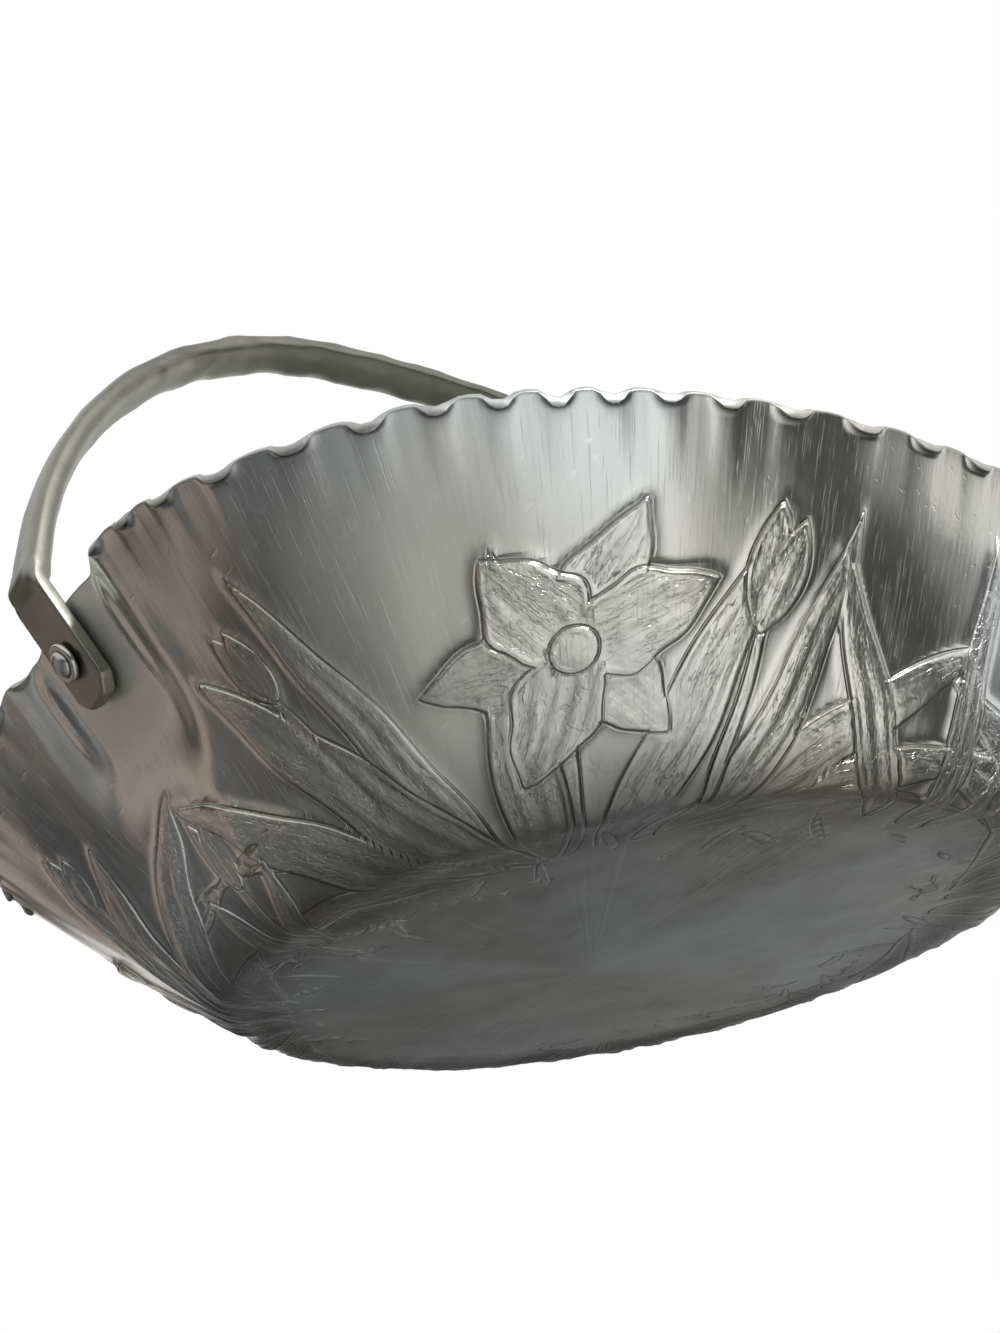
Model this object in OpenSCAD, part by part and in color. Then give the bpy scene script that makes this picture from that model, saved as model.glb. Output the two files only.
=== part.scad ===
// Handled candy dish: a pressed aluminium sheet with a crimped rim and an arched bail
// whose flat lugs are riveted to a flattened panel on each side.
// Frame: +Z up, origin at the centre of the base, lugs on the X axis.

/* [Dish] */
// Half width of the rim across the lugs
rim_half_x = 100; // [90:1:120]
// Half length of the rim along the free sides
rim_half_y = 102; // [90:1:120]
// Squareness of the rim: 2 is an ellipse, higher is squarer
rim_power = 3.3; // [2:0.1:4]
// Half width of the base across the lugs
base_half_x = 61; // [45:1:70]
// Half length of the base along the free sides
base_half_y = 80; // [60:1:84]
// Mean height of the rim above the table
rim_mean_z = 36.5; // [30:0.5:45]
// How much the lug sides rise above the free sides, each way from the mean
rim_saddle = 4.8; // [0:0.1:6]
// How much the four corners dip below the sides, each way from the mean
corner_dip = 6; // [0:0.1:9]
// Length of the soft bend between base and wall
foot_blend = 4; // [2:0.5:8]
// Thickness of the sheet
sheet_t = 1.1; // [0.8:0.1:2]

/* [Crimped rim] */
// Number of crimps round the rim
crimps = 72; // [60:4:100]
// How far the crimps swing the edge of the sheet out and back in
crimp_depth = 1.6; // [0.5:0.1:3]
// Length of a crimp's flute down the wall
crimp_l = 6; // [4:0.5:8]

/* [Lug panels] */
// Width of the flattened panel behind each lug
panel_w = 24; // [18:1:32]
// Length of the panel down the wall from the rim
panel_l = 22; // [18:1:28]
// Slope of the panel above the horizontal, in degrees
panel_slope = 51; // [48:1:65]
// How far the panel's top edge stands inside the rim line
panel_recess = 2.6; // [0:0.1:5]
// Width of the soft edge round the panel
panel_blend = 12; // [6:1:18]

/* [Bail handle] */
// How far the bail's legs stand outside the rim
bail_stand = 2.1; // [2:0.1:8]
// Width of the bar, front to back
bar_w = 8.6; // [6:0.1:10]
// Thickness of the bar in the plane of the arch
bar_t = 4.6; // [3:0.1:6]
// Rounding of the bar's edges
bar_round = 1.6; // [0.4:0.1:2]
// How much thinner, each way, a drawn-down stretch is than the one that it runs into
draw_step = 0.2; // [0.1:0.05:0.3]
// Radius of the arch's crown
crown_r = 235; // [150:1:260]
// Radius of the arch's two haunches
haunch_r = 66; // [50:1:75]
// Straight length of a leg between its haunch and its taper
leg_l = 3.8; // [1:0.1:20]
// Length over which a leg thins down to its lug
leg_taper = 5; // [3:0.5:8]
// Length by which a drawn-down stretch runs into its neighbour
draw_lap = 2; // [1:0.5:3]

/* [Lugs] */
// Width of a lug
lug_w = 11; // [9:0.1:14]
// Thickness of a lug
lug_t = 2.4; // [1.5:0.1:3.5]
// Length of a lug beyond the rivet's centre
lug_tail = 8.1; // [7:0.1:14]
// Corners clipped off the lug's end
lug_clip = 2.6; // [0:0.1:4]
// Gap between a lug and the wall
lug_gap = 0.6; // [0.4:0.05:1]
// Free play between a lug and its burr
lug_play = 0.4; // [0.3:0.05:0.8]

/* [Rivets] */
// Diameter of a rivet's shank
rivet_d = 3.2; // [2.4:0.1:4]
// Distance from the rim down the panel to a rivet's centre
rivet_drop = 7.7; // [6:0.1:10]
// Diameter of the rivet's head inside the dish
head_d = 6.4; // [5:0.1:8]
// Height of the rivet's head inside the dish
head_h = 1.8; // [1:0.1:3]
// Diameter of the peened end outside
peen_d = 4.4; // [3.6:0.1:5]
// Height of the peened end outside
peen_h = 1.5; // [0.8:0.1:2]
// Outer diameter of the burr under the peened end
burr_d = 6.6; // [5.6:0.1:8]
// Thickness of the burr
burr_t = 0.9; // [0.5:0.1:1.5]
// Radial room between a rivet and the sheet or burr that it fills
rivet_fit = 0.05; // [0.02:0.01:0.1]
// Radial running room between a rivet and its lug
lug_fit = 0.1; // [0.05:0.01:0.1]

/* [Hidden] */
$fn = 96;
left = -1;
right = 1;
// Extra length of a cutting tool past the face that it cuts
cut = 1;
// Mesh of the dish: a column to each crimp, finer columns at the rim, and rows up the wall
columns = crimps;
fine_columns = 4;
fine_count = columns * fine_columns;
wall_rows = 8;
flute_rows = 3;
// Share of the wall, from the foot, that the plain rows cover
plain_share = 0.86;
row_growth = 1.7;
// Share of the wall over which its slope is measured
slope_step = 0.001;

panel_x = rim_half_x - panel_recess;
panel_top = rim_mean_z + rim_saddle + corner_dip;
bail_half = rim_half_x + bail_stand;
// Directions in the XZ plane: out of the right panel's face, and down along it
out_dir = [sin(panel_slope), -cos(panel_slope)];
down_dir = [-cos(panel_slope), -sin(panel_slope)];
lug_mid = lug_gap + lug_t / 2;
// Where the leg's centre line meets the lug's, measured down the panel from the rim
shoulder_s = (panel_x + lug_mid * out_dir[0] - bail_half) / -down_dir[0];
shoulder_z = panel_top + lug_mid * out_dir[1] + shoulder_s * down_dir[1];
lug_head = rivet_drop - shoulder_s;
// The crown and the haunches of the arch touch where their centres and radii line up
haunch_x = bail_half - haunch_r;
centre_gap = crown_r - haunch_r;
centre_fall = sqrt(centre_gap * centre_gap - haunch_x * haunch_x);
haunch_z = shoulder_z + leg_taper + leg_l;
crown_z = haunch_z - centre_fall;
crown_angle = asin(haunch_x / centre_gap);
lap_angle = draw_lap / crown_r * 180 / PI;
burr_z = lug_gap + lug_t + lug_play;

function smooth(u) = let (v = min(1, max(0, u))) v * v * (3 - 2 * v);

// Radius of a superellipse at an angle
function plan_r(half_x, half_y, power, a) =
    pow(pow(abs(cos(a)) / half_x, power) + pow(abs(sin(a)) / half_y, power), -1 / power);

function rim_r(a) = plan_r(rim_half_x, rim_half_y, rim_power, a);
function rim_z(a) = rim_mean_z + rim_saddle * cos(2 * a) + corner_dip * cos(4 * a);
function flat_r(a) = plan_r(base_half_x, base_half_y, 2, a) - foot_blend;

// Outside of the wall as [radius, height] at angle a, with t = 0 at the foot and 1 at the rim
function wall(a, t) =
    let (
        run = rim_r(a) - flat_r(a),
        soft = foot_blend / run,
        rise = (sqrt(t * t + soft * soft) - soft) / (sqrt(1 + soft * soft) - soft)
    )
    [flat_r(a) + run * t, rim_z(a) * rise];

// The wall moved inwards by depth along its own normal
function skin(a, t, depth) =
    let (
        here = wall(a, t),
        step = wall(a, t + slope_step) - here,
        along = step / norm(step)
    )
    [here[0] - depth * along[1], here[1] + depth * along[0]];

// Share of the flat panel at a place across and up the wall
function panel_share(y, z) =
    (1 - smooth((abs(y) - panel_w / 2) / panel_blend))
    * smooth(1 + (z - panel_top + panel_l * sin(panel_slope)) / panel_blend);

// How far the crimps swing the sheet inwards at angle a
function crimp(a, t) =
    let (below_rim = (1 - t) * norm([rim_r(a) - flat_r(a), rim_z(a)]))
    -crimp_depth / 2 * cos(crimps * a) * smooth(1 - below_rim / crimp_l);

// A point of the dish's outside (depth 0) or inside (depth sheet_t)
function dish_point(a, t, depth) =
    let (
        plain = wall(a, t),
        share = panel_share(plain[0] * sin(a), plain[1]),
        rz = skin(a, t, depth + crimp(a, t) * (1 - share)),
        x = rz[0] * cos(a),
        panel = panel_x - depth / sin(panel_slope) - (panel_top - rz[1]) / tan(panel_slope)
    )
    [sign(x) * (abs(x) + (panel - abs(x)) * share), rz[0] * sin(a), rz[1]];

function ring(count, t, depth) = [for (i = [0:count - 1]) dish_point(360 * i / count, t, depth)];

function row_share(i) =
    i <= wall_rows ? plain_share * pow(i / wall_rows, row_growth)
    : plain_share + (1 - plain_share) * (i - wall_rows) / flute_rows;

// Points of one skin, foot to rim: coarse rings, then fine ones where the crimps are
function skin_points(depth) = [
    for (i = [0:wall_rows + flute_rows])
        each ring(i <= wall_rows ? columns : fine_count, row_share(i), depth)
];

// Index of column j in row i of one skin
function at(i, j) =
    i <= wall_rows ? i * columns + j % columns
    : (wall_rows + 1) * columns + (i - wall_rows - 1) * fine_count + j % fine_count;

// Triangles of one skin seen from outside the dish
function skin_faces() = [
    for (i = [0:wall_rows - 1], j = [0:columns - 1])
        each [[at(i, j), at(i + 1, j), at(i + 1, j + 1)], [at(i, j), at(i + 1, j + 1), at(i, j + 1)]],
    for (j = [0:columns - 1])
        let (low = wall_rows, half = fine_columns / 2)
        each [
            for (k = [0:half - 1])
                [at(low, j), at(low + 1, fine_columns * j + k), at(low + 1, fine_columns * j + k + 1)],
            [at(low, j), at(low + 1, fine_columns * j + half), at(low, j + 1)],
            for (k = [half:fine_columns - 1])
                [at(low, j + 1), at(low + 1, fine_columns * j + k), at(low + 1, fine_columns * j + k + 1)]
        ],
    for (i = [wall_rows + 1:wall_rows + flute_rows - 1], j = [0:fine_count - 1])
        each [[at(i, j), at(i + 1, j), at(i + 1, j + 1)], [at(i, j), at(i + 1, j + 1), at(i, j + 1)]]
];

function flipped(face, shift) = [for (k = [len(face) - 1:-1:0]) face[k] + shift];

module dish_shell() {
    outside = skin_points(0);
    inside = skin_points(sheet_t);
    shift = len(outside);
    top = wall_rows + flute_rows;
    base = [for (j = [0:columns - 1]) at(0, j)];
    rim = [
        for (j = [0:fine_count - 1])
            let (a = at(top, j), b = at(top, j + 1))
            each [[a, a + shift, b + shift], [a, b + shift, b]]
    ];
    polyhedron(
        points = concat(outside, inside),
        faces = concat(
            skin_faces(),
            [for (face = skin_faces()) flipped(face, shift)],
            rim,
            [base, flipped(base, shift)]
        )
    );
}

// Puts its children on one side of the dish, given for the right side
module on_side(side) {
    mirror([side == left ? 1 : 0, 0, 0]) children();
}

// Origin at the rivet's centre on the wall's outer face, +Z out of the wall, +X down along it
module at_rivet(side) {
    on_side(side)
        translate([panel_x + rivet_drop * down_dir[0], 0, panel_top + rivet_drop * down_dir[1]])
            rotate([0, 180 - panel_slope, 0])
                children();
}

// Low dome standing on z = 0
module dome(d, h) {
    r = (d * d / 4 + h * h) / (2 * h);
    rotate_extrude()
        intersection() {
            translate([0, h - r]) circle(r);
            square([d, h]);
        }
}

module dish() {
    color([0.72, 0.73, 0.74])
        difference() {
            dish_shell();
            for (side = [left, right])
                at_rivet(side)
                    translate([0, 0, -sheet_t - cut])
                        cylinder(h = sheet_t + 2 * cut, r = rivet_d / 2 + rivet_fit);
        }
}

// Cross-section of the bar with rounded edges, thickness along X, drawn in by draw on every side
module bar_section(draw = 0) {
    t = bar_t - 2 * draw;
    w = bar_w - 2 * draw;
    square([t - 2 * bar_round, w], center = true);
    square([t, w - 2 * bar_round], center = true);
    for (x = [-1, 1], y = [-1, 1])
        translate([x * (t / 2 - bar_round), y * (w / 2 - bar_round)])
            circle(bar_round);
}

// One arc of the arch in the XZ plane, from angle a over sweep
module arch_arc(x, z, r, a, sweep, draw = 0) {
    translate([x, 0, z])
        rotate([90, 0, 0])
            rotate([0, 0, a])
                rotate_extrude(angle = sweep)
                    translate([r, 0]) bar_section(draw);
}

module crown() {
    half_sweep = crown_angle + lap_angle;
    arch_arc(0, crown_z, crown_r, 90 - half_sweep, 2 * half_sweep, draw_step);
}

// Straight stretch of a leg between its taper and its haunch
module leg() {
    translate([bail_half, 0, haunch_z - leg_l])
        linear_extrude(leg_l + draw_lap) bar_section(draw_step);
}

// Wedge where a leg thins and bends into its lug
module shoulder() {
    corner = [bail_half, shoulder_z];
    half_lug = out_dir * (lug_t / 2 - draw_step);
    half_leg = bar_t / 2 - 2 * draw_step;
    leg_end = haunch_z - leg_l + draw_lap;
    rotate([90, 0, 0])
        linear_extrude(bar_w - 4 * draw_step, center = true)
            polygon([
                [bail_half + half_leg, leg_end],
                corner + half_lug,
                corner + half_lug + down_dir * draw_lap,
                corner - half_lug + down_dir * draw_lap,
                corner - half_lug,
                [bail_half - half_leg, leg_end]
            ]);
}

// Flat lug with clipped end corners
module lug() {
    at_rivet(right)
        translate([0, 0, lug_gap])
            linear_extrude(lug_t)
                polygon([
                    [-lug_head, lug_w / 2],
                    [-lug_head, -lug_w / 2],
                    [lug_tail - lug_clip, -lug_w / 2],
                    [lug_tail, lug_clip - lug_w / 2],
                    [lug_tail, lug_w / 2 - lug_clip],
                    [lug_tail - lug_clip, lug_w / 2]
                ]);
}

module bail_handle() {
    color([0.60, 0.60, 0.57])
        difference() {
            union() {
                crown();
                for (side = [left, right])
                    on_side(side) {
                        arch_arc(haunch_x, haunch_z, haunch_r, 0, 90 - crown_angle);
                        leg();
                        shoulder();
                        lug();
                    }
            }
            for (side = [left, right])
                at_rivet(side)
                    translate([0, 0, lug_gap - cut])
                        cylinder(h = lug_t + 2 * cut, r = rivet_d / 2 + lug_fit);
        }
}

// Headed inside the dish, peened over the burr outside
module rivet(side) {
    color([0.66, 0.66, 0.65])
        at_rivet(side) {
            translate([0, 0, -sheet_t])
                cylinder(h = sheet_t + burr_z + burr_t, d = rivet_d);
            translate([0, 0, burr_z + burr_t]) dome(peen_d, peen_h);
            translate([0, 0, -sheet_t]) rotate([180, 0, 0]) dome(head_d, head_h);
        }
}

// Ring that the peened end of the rivet is spread over
module burr(side) {
    color([0.68, 0.68, 0.66])
        at_rivet(side)
            translate([0, 0, burr_z])
                difference() {
                    cylinder(h = burr_t, d = burr_d);
                    translate([0, 0, -cut])
                        cylinder(h = burr_t + 2 * cut, r = rivet_d / 2 + rivet_fit);
                }
}

module rivet_left() { rivet(left); }
module rivet_right() { rivet(right); }
module burr_left() { burr(left); }
module burr_right() { burr(right); }

dish();
bail_handle();
rivet_left();
rivet_right();
burr_left();
burr_right();
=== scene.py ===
"""Looks of the handled candy dish: a pressed aluminium sheet, its bail, its rivets and a plain studio."""

from __future__ import annotations

import logging
import math
from dataclasses import dataclass, field
from enum import Enum
from typing import Any, ClassVar, Iterable, Sequence

import bmesh
import bpy
import numpy as np
from mathutils import Matrix, Vector


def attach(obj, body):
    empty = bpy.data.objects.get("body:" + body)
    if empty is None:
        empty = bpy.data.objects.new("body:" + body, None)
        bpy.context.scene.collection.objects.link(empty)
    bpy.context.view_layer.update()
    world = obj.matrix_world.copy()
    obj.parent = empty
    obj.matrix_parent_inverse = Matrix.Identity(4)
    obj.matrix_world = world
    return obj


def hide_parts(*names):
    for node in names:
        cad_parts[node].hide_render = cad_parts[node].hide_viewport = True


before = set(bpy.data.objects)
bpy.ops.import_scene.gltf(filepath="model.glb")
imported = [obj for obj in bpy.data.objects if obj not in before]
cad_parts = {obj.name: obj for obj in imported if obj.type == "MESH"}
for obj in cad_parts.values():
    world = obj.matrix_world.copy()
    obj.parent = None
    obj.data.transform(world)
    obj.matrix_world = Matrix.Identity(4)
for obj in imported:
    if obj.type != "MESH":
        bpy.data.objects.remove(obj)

LOG = logging.getLogger("candy_dish")
MM = 0.001
TAU = 2.0 * math.pi
Array = np.ndarray
Triple = tuple[float, float, float]
Colour = Triple
Blade = tuple[float, float, float, float, float, float]
# Sets of chased outlines that may cross, and the distance in metres at which vertices are joined
LINE_LAYERS = 3
WELD = 2e-6


class Side(Enum):
    """The two sides of the dish that carry a lug."""

    LEFT = -1
    RIGHT = 1


class Body(Enum):
    """The bodies that pieces ride on."""

    BASIN = "basin"
    BAIL = "bail"


class Slot(Enum):
    """The record's material slots."""

    DISH = "dish_metal"
    BAIL = "bail_metal"
    RIVET = "rivet_metal"


def smooth(u: Array | float) -> Array:
    """Eased step from 0 to 1 over the unit range."""
    v = np.clip(u, 0.0, 1.0)
    return v * v * (3.0 - 2.0 * v)


def bell(x: Array | float, width: float) -> Array:
    """Bell curve of height 1 with the given width."""
    return np.exp(-np.square(np.asarray(x) / width))


def waves(angle: Array, turns: Sequence[int], seed: int) -> Array:
    """Seeded sum of waves round the dish, about -1 to 1.

    Args:
        angle: Angles in radians.
        turns: How many periods each wave has in a full turn.
        seed: Seed of the phases and heights.

    Returns:
        The sum at each angle.
    """
    rng = np.random.default_rng(seed)
    lowest, highest, peak = 0.5, 1.0, 1.4
    total = np.zeros_like(angle)
    for k in turns:
        total += rng.uniform(lowest, highest) * np.cos(k * angle + rng.uniform(0.0, TAU))
    return total / (0.5 * (lowest + highest) * math.sqrt(len(turns)) * peak)


# Shader building


@dataclass(frozen=True)
class Noise:
    """Scale, detail and harshness of a noise texture."""

    scale: float
    detail: float = 2.0
    harsh: float = 0.5


class Value:
    """A shader socket that takes part in Python expressions."""

    def __init__(self, graph: Graph, socket: bpy.types.NodeSocket) -> None:
        """Keeps the socket and the graph that it belongs to."""
        self.graph = graph
        self.socket = socket

    def _math(self, operation: str, first: Any, second: Any) -> Value:
        """Adds one Math node on two values or numbers."""
        return self.graph.node("ShaderNodeMath", {"operation": operation}, {0: first, 1: second})

    def __add__(self, other: Any) -> Value:
        """Sum of two values."""
        return self._math("ADD", self, other)

    def __radd__(self, other: Any) -> Value:
        """Sum with a number on the left."""
        return self._math("ADD", other, self)

    def __sub__(self, other: Any) -> Value:
        """Difference of two values."""
        return self._math("SUBTRACT", self, other)

    def __rsub__(self, other: Any) -> Value:
        """Difference with a number on the left."""
        return self._math("SUBTRACT", other, self)

    def __mul__(self, other: Any) -> Value:
        """Product of two values."""
        return self._math("MULTIPLY", self, other)

    def __rmul__(self, other: Any) -> Value:
        """Product with a number on the left."""
        return self._math("MULTIPLY", other, self)

    def __pow__(self, other: Any) -> Value:
        """Power of a value."""
        return self._math("POWER", self, other)

    def eased(self, low: float, high: float) -> Value:
        """Eased step from 0 at low to 1 at high, which may be below low."""
        return self.graph.node(
            "ShaderNodeMapRange",
            {"interpolation_type": "SMOOTHSTEP"},
            {"Value": self, "From Min": low, "From Max": high},
        )

    def limited(self) -> Value:
        """The value kept between 0 and 1."""
        return self.graph.node("ShaderNodeClamp", {}, {"Value": self})


class Graph:
    """A material's or the world's node tree under construction."""

    def __init__(self, tree: bpy.types.NodeTree) -> None:
        """Empties the tree."""
        self.tree = tree
        tree.nodes.clear()

    def node(self, kind: str, settings: dict[str, Any], sockets: dict[Any, Any], output: Any = 0) -> Value:
        """Adds any node.

        Args:
            kind: Blender's node type.
            settings: Properties, set before the sockets.
            sockets: Numbers, colours or Values by socket name or index.
            output: Name or index of the output to return.

        Returns:
            The chosen output, or the first input where the node has none.
        """
        made = self.tree.nodes.new(kind)
        for key, setting in settings.items():
            setattr(made, key, setting)
        for key, given in sockets.items():
            socket = made.inputs[key]
            if isinstance(given, Value):
                self.tree.links.new(given.socket, socket)
            elif isinstance(given, tuple) and len(given) == 3 and len(socket.default_value) == 4:
                socket.default_value = (*given, 1.0)
            else:
                socket.default_value = given
        ends = made.outputs if len(made.outputs) else made.inputs
        return Value(self, ends[output])

    def place(self) -> Value:
        """Object coordinates of the surface."""
        return self.node("ShaderNodeTexCoord", {}, {}, "Object")

    def attribute(self, name: str) -> Value:
        """A float attribute of the piece's mesh."""
        return self.node("ShaderNodeAttribute", {"attribute_name": name}, {}, "Fac")

    def stretch(self, vector: Value, factors: Triple) -> Value:
        """A vector multiplied by factors for each axis."""
        return self.node("ShaderNodeVectorMath", {"operation": "MULTIPLY"}, {0: vector, 1: factors})

    def grain(self, vector: Value, noise: Noise) -> Value:
        """Noise of about 0 to 1 over a vector."""
        return self.node(
            "ShaderNodeTexNoise",
            {},
            {"Vector": vector, "Scale": noise.scale, "Detail": noise.detail, "Roughness": noise.harsh},
            "Fac",
        )

    def blend(self, share: Any, first: Any, second: Any, kind: str = "MIX") -> Value:
        """Mixes two colours by a share."""
        settings = {"data_type": "RGBA", "blend_type": kind}
        return self.node("ShaderNodeMix", settings, {0: share, 6: first, 7: second}, 2)

    def bump(self, height: Value, depth_mm: float, under: Value | None = None) -> Value:
        """A bump of the given depth, on top of another bump."""
        sockets: dict[Any, Any] = {"Height": height, "Distance": depth_mm * MM, "Strength": 1.0}
        if under is not None:
            sockets["Normal"] = under
        return self.node("ShaderNodeBump", {}, sockets)

    def surface(self, sockets: dict[Any, Any]) -> None:
        """Ends a material with a Principled surface."""
        shader = self.node("ShaderNodeBsdfPrincipled", {}, sockets)
        self.node("ShaderNodeOutputMaterial", {}, {"Surface": shader})


def new_material(name: str) -> tuple[bpy.types.Material, Graph]:
    """An empty node material and its graph."""
    made = bpy.data.materials.new(name)
    made.use_nodes = True
    return made, Graph(made.node_tree)


@dataclass(frozen=True)
class DishMetal:
    """Hand-rubbed sheet aluminium: brushed wall, dull base and wrinkled leaves, with painted shade in the
    chasing's dark lines, under the crimps and at the foot's crease, a painted dark reflection beside the
    lug panels and painted highlights on the chased steps and crumples.

    Streaks and climb count the brushed marks in a radian round the dish and in a metre up the wall.
    """

    bright: Colour = (0.70, 0.70, 0.69)
    dull: Colour = (0.47, 0.47, 0.465)
    # Dark colour of the painted shade in the grooves, creases and crimps, and of the painted dark
    # reflection beside the lug panels.
    soot: Colour = (0.07, 0.07, 0.066)
    base: Colour = (0.23, 0.22, 0.20)
    cut: Colour = (0.44, 0.44, 0.43)
    warm: Colour = (0.985, 0.97, 0.90)
    cool: Colour = (0.92, 0.97, 0.98)
    gloss: float = 0.19
    brush_mm: float = 0.014
    scratch_mm: float = 0.012
    broad_mm: float = 0.035
    wrinkle_mm: float = 0.22
    crumple_mm: float = 0.26
    pit_mm: float = 0.05
    chase_mm: float = 0.36
    speck_mm: float = 0.008
    streaks: float = 210.0
    climb: float = 130.0
    streak: Noise = Noise(1.0, 3.0, 0.6)
    broad: Noise = Noise(0.16)
    hair: Noise = Noise(1.0)
    hair_upright: Triple = (3.4, 3.4, 1.3)
    hair_slanted: Triple = (700.0, 160.0, 900.0)
    leaf_across: float = 0.8
    leaf_along: float = 0.11
    wrinkle: Noise = Noise(1.0, 3.0, 0.6)
    cloud: Noise = Noise(26.0, 4.0, 0.6)
    smear: Noise = Noise(75.0, 3.0, 0.65)
    smear_stretch: Triple = (1.0, 0.55, 1.0)
    speck: Noise = Noise(950.0, 2.0, 0.6)
    pits: Noise = Noise(420.0, 2.0, 0.7)
    crumple: Noise = Noise(230.0, 3.0, 0.58)
    pressing: Noise = Noise(60.0)
    tint: Noise = Noise(17.0)

    def colour(self, g: Graph, m: SheetMarks) -> Value:
        """Mixes bright and dull metal and the pale cut edge with painted shade, a painted dark reflection
        and painted highlights.

        Args:
            g: The material's graph.
            m: The marks of the sheet.

        Returns:
            The metal's colour.
        """
        tone = 0.70 + 0.6 * (m.cloud - 0.5) + 0.3 * (m.smear - 0.5) + 0.22 * (m.streak - 0.5) * m.wall
        # Painted highlight on the raised step inside each outline, painted glints following the crumples,
        # and painted shade darker towards the crease at the foot.
        tone = tone + 0.45 * m.step + 0.4 * (m.crumple - 0.5) * m.worked - 0.12 * m.motif - 0.75 * m.low
        tone = (tone + 0.30 * m.scratch * m.wall + 0.32 * m.scuff).limited()
        # On the base, the share of dull metal falls towards the crease at the foot: painted shade.
        worn = (0.66 + 2.2 * (m.cloud - 0.5) + 1.5 * (m.smear - 0.5) - 0.5 * m.low).limited()
        metal = g.blend(m.foot, g.blend(tone, self.dull, self.bright), g.blend(worn, self.base, self.dull))
        # Painted shade under the crimps, where the sheet curls outwards.
        metal = g.blend(0.8 * m.curl.eased(0.05, 0.75), metal, self.soot)
        metal = g.blend(0.9 * m.lip, metal, self.cut)
        # Painted shade in the chased grooves, in the creases of the wrinkles and crumples and towards the
        # crease at the foot.
        shade_and_dirt_share = m.groove * (0.24 + 0.50 * m.pits) + 0.14 * m.crack + 0.10 * m.vein + 0.25 * m.low
        metal = g.blend(shade_and_dirt_share.limited(), metal, self.soot)
        # Painted dark reflection on the wall beside the lug panels.
        metal = g.blend(m.tarnish * (0.30 + 0.5 * (m.smear - 0.4)), metal, self.soot)
        return g.blend(1.0, metal, g.blend(m.tint, self.warm, self.cool), "MULTIPLY")

    def roughness(self, m: SheetMarks) -> Value:
        """Gloss that clouds over, duller on the motifs, the base, the cut edge and the scuffed panels."""
        rough = self.gloss + 0.20 * (m.cloud - 0.35) + 0.10 * (m.streak - 0.5)
        return (rough + 0.06 * m.motif + 0.08 * m.foot + 0.30 * m.lip + 0.30 * m.scuff).limited()

    def relief(self, g: Graph, m: SheetMarks) -> Value | None:
        """Lays the fine bumps one over another, from the brushing to the specks.

        Args:
            g: The material's graph.
            m: The marks of the sheet.

        Returns:
            The bumped normal.
        """
        bumps = (
            (m.streak, self.brush_mm),
            (1.0 - m.scratch, self.scratch_mm),
            (m.broad, self.broad_mm),
            ((m.wrinkle - 0.5) * m.grained - 0.5 * m.crack, self.wrinkle_mm),
            (m.crumple * m.worked - 0.25 * m.vein, self.crumple_mm),
            (m.pits * m.motif + 0.12 * m.pits, self.pit_mm),
            (m.step - 0.6 * m.groove, self.chase_mm),
            (m.speck, self.speck_mm),
        )
        normal: Value | None = None
        for height, depth_mm in bumps:
            normal = g.bump(height, depth_mm, normal)
        return normal

    def material(self) -> bpy.types.Material:
        """Builds the material."""
        made, g = new_material("dish_aluminium")
        m = SheetMarks(g, self)
        colour, rough, normal = self.colour(g, m), self.roughness(m), self.relief(g, m)
        g.surface({"Base Color": colour, "Metallic": 1.0, "Roughness": rough, "Normal": normal})
        return made


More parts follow.
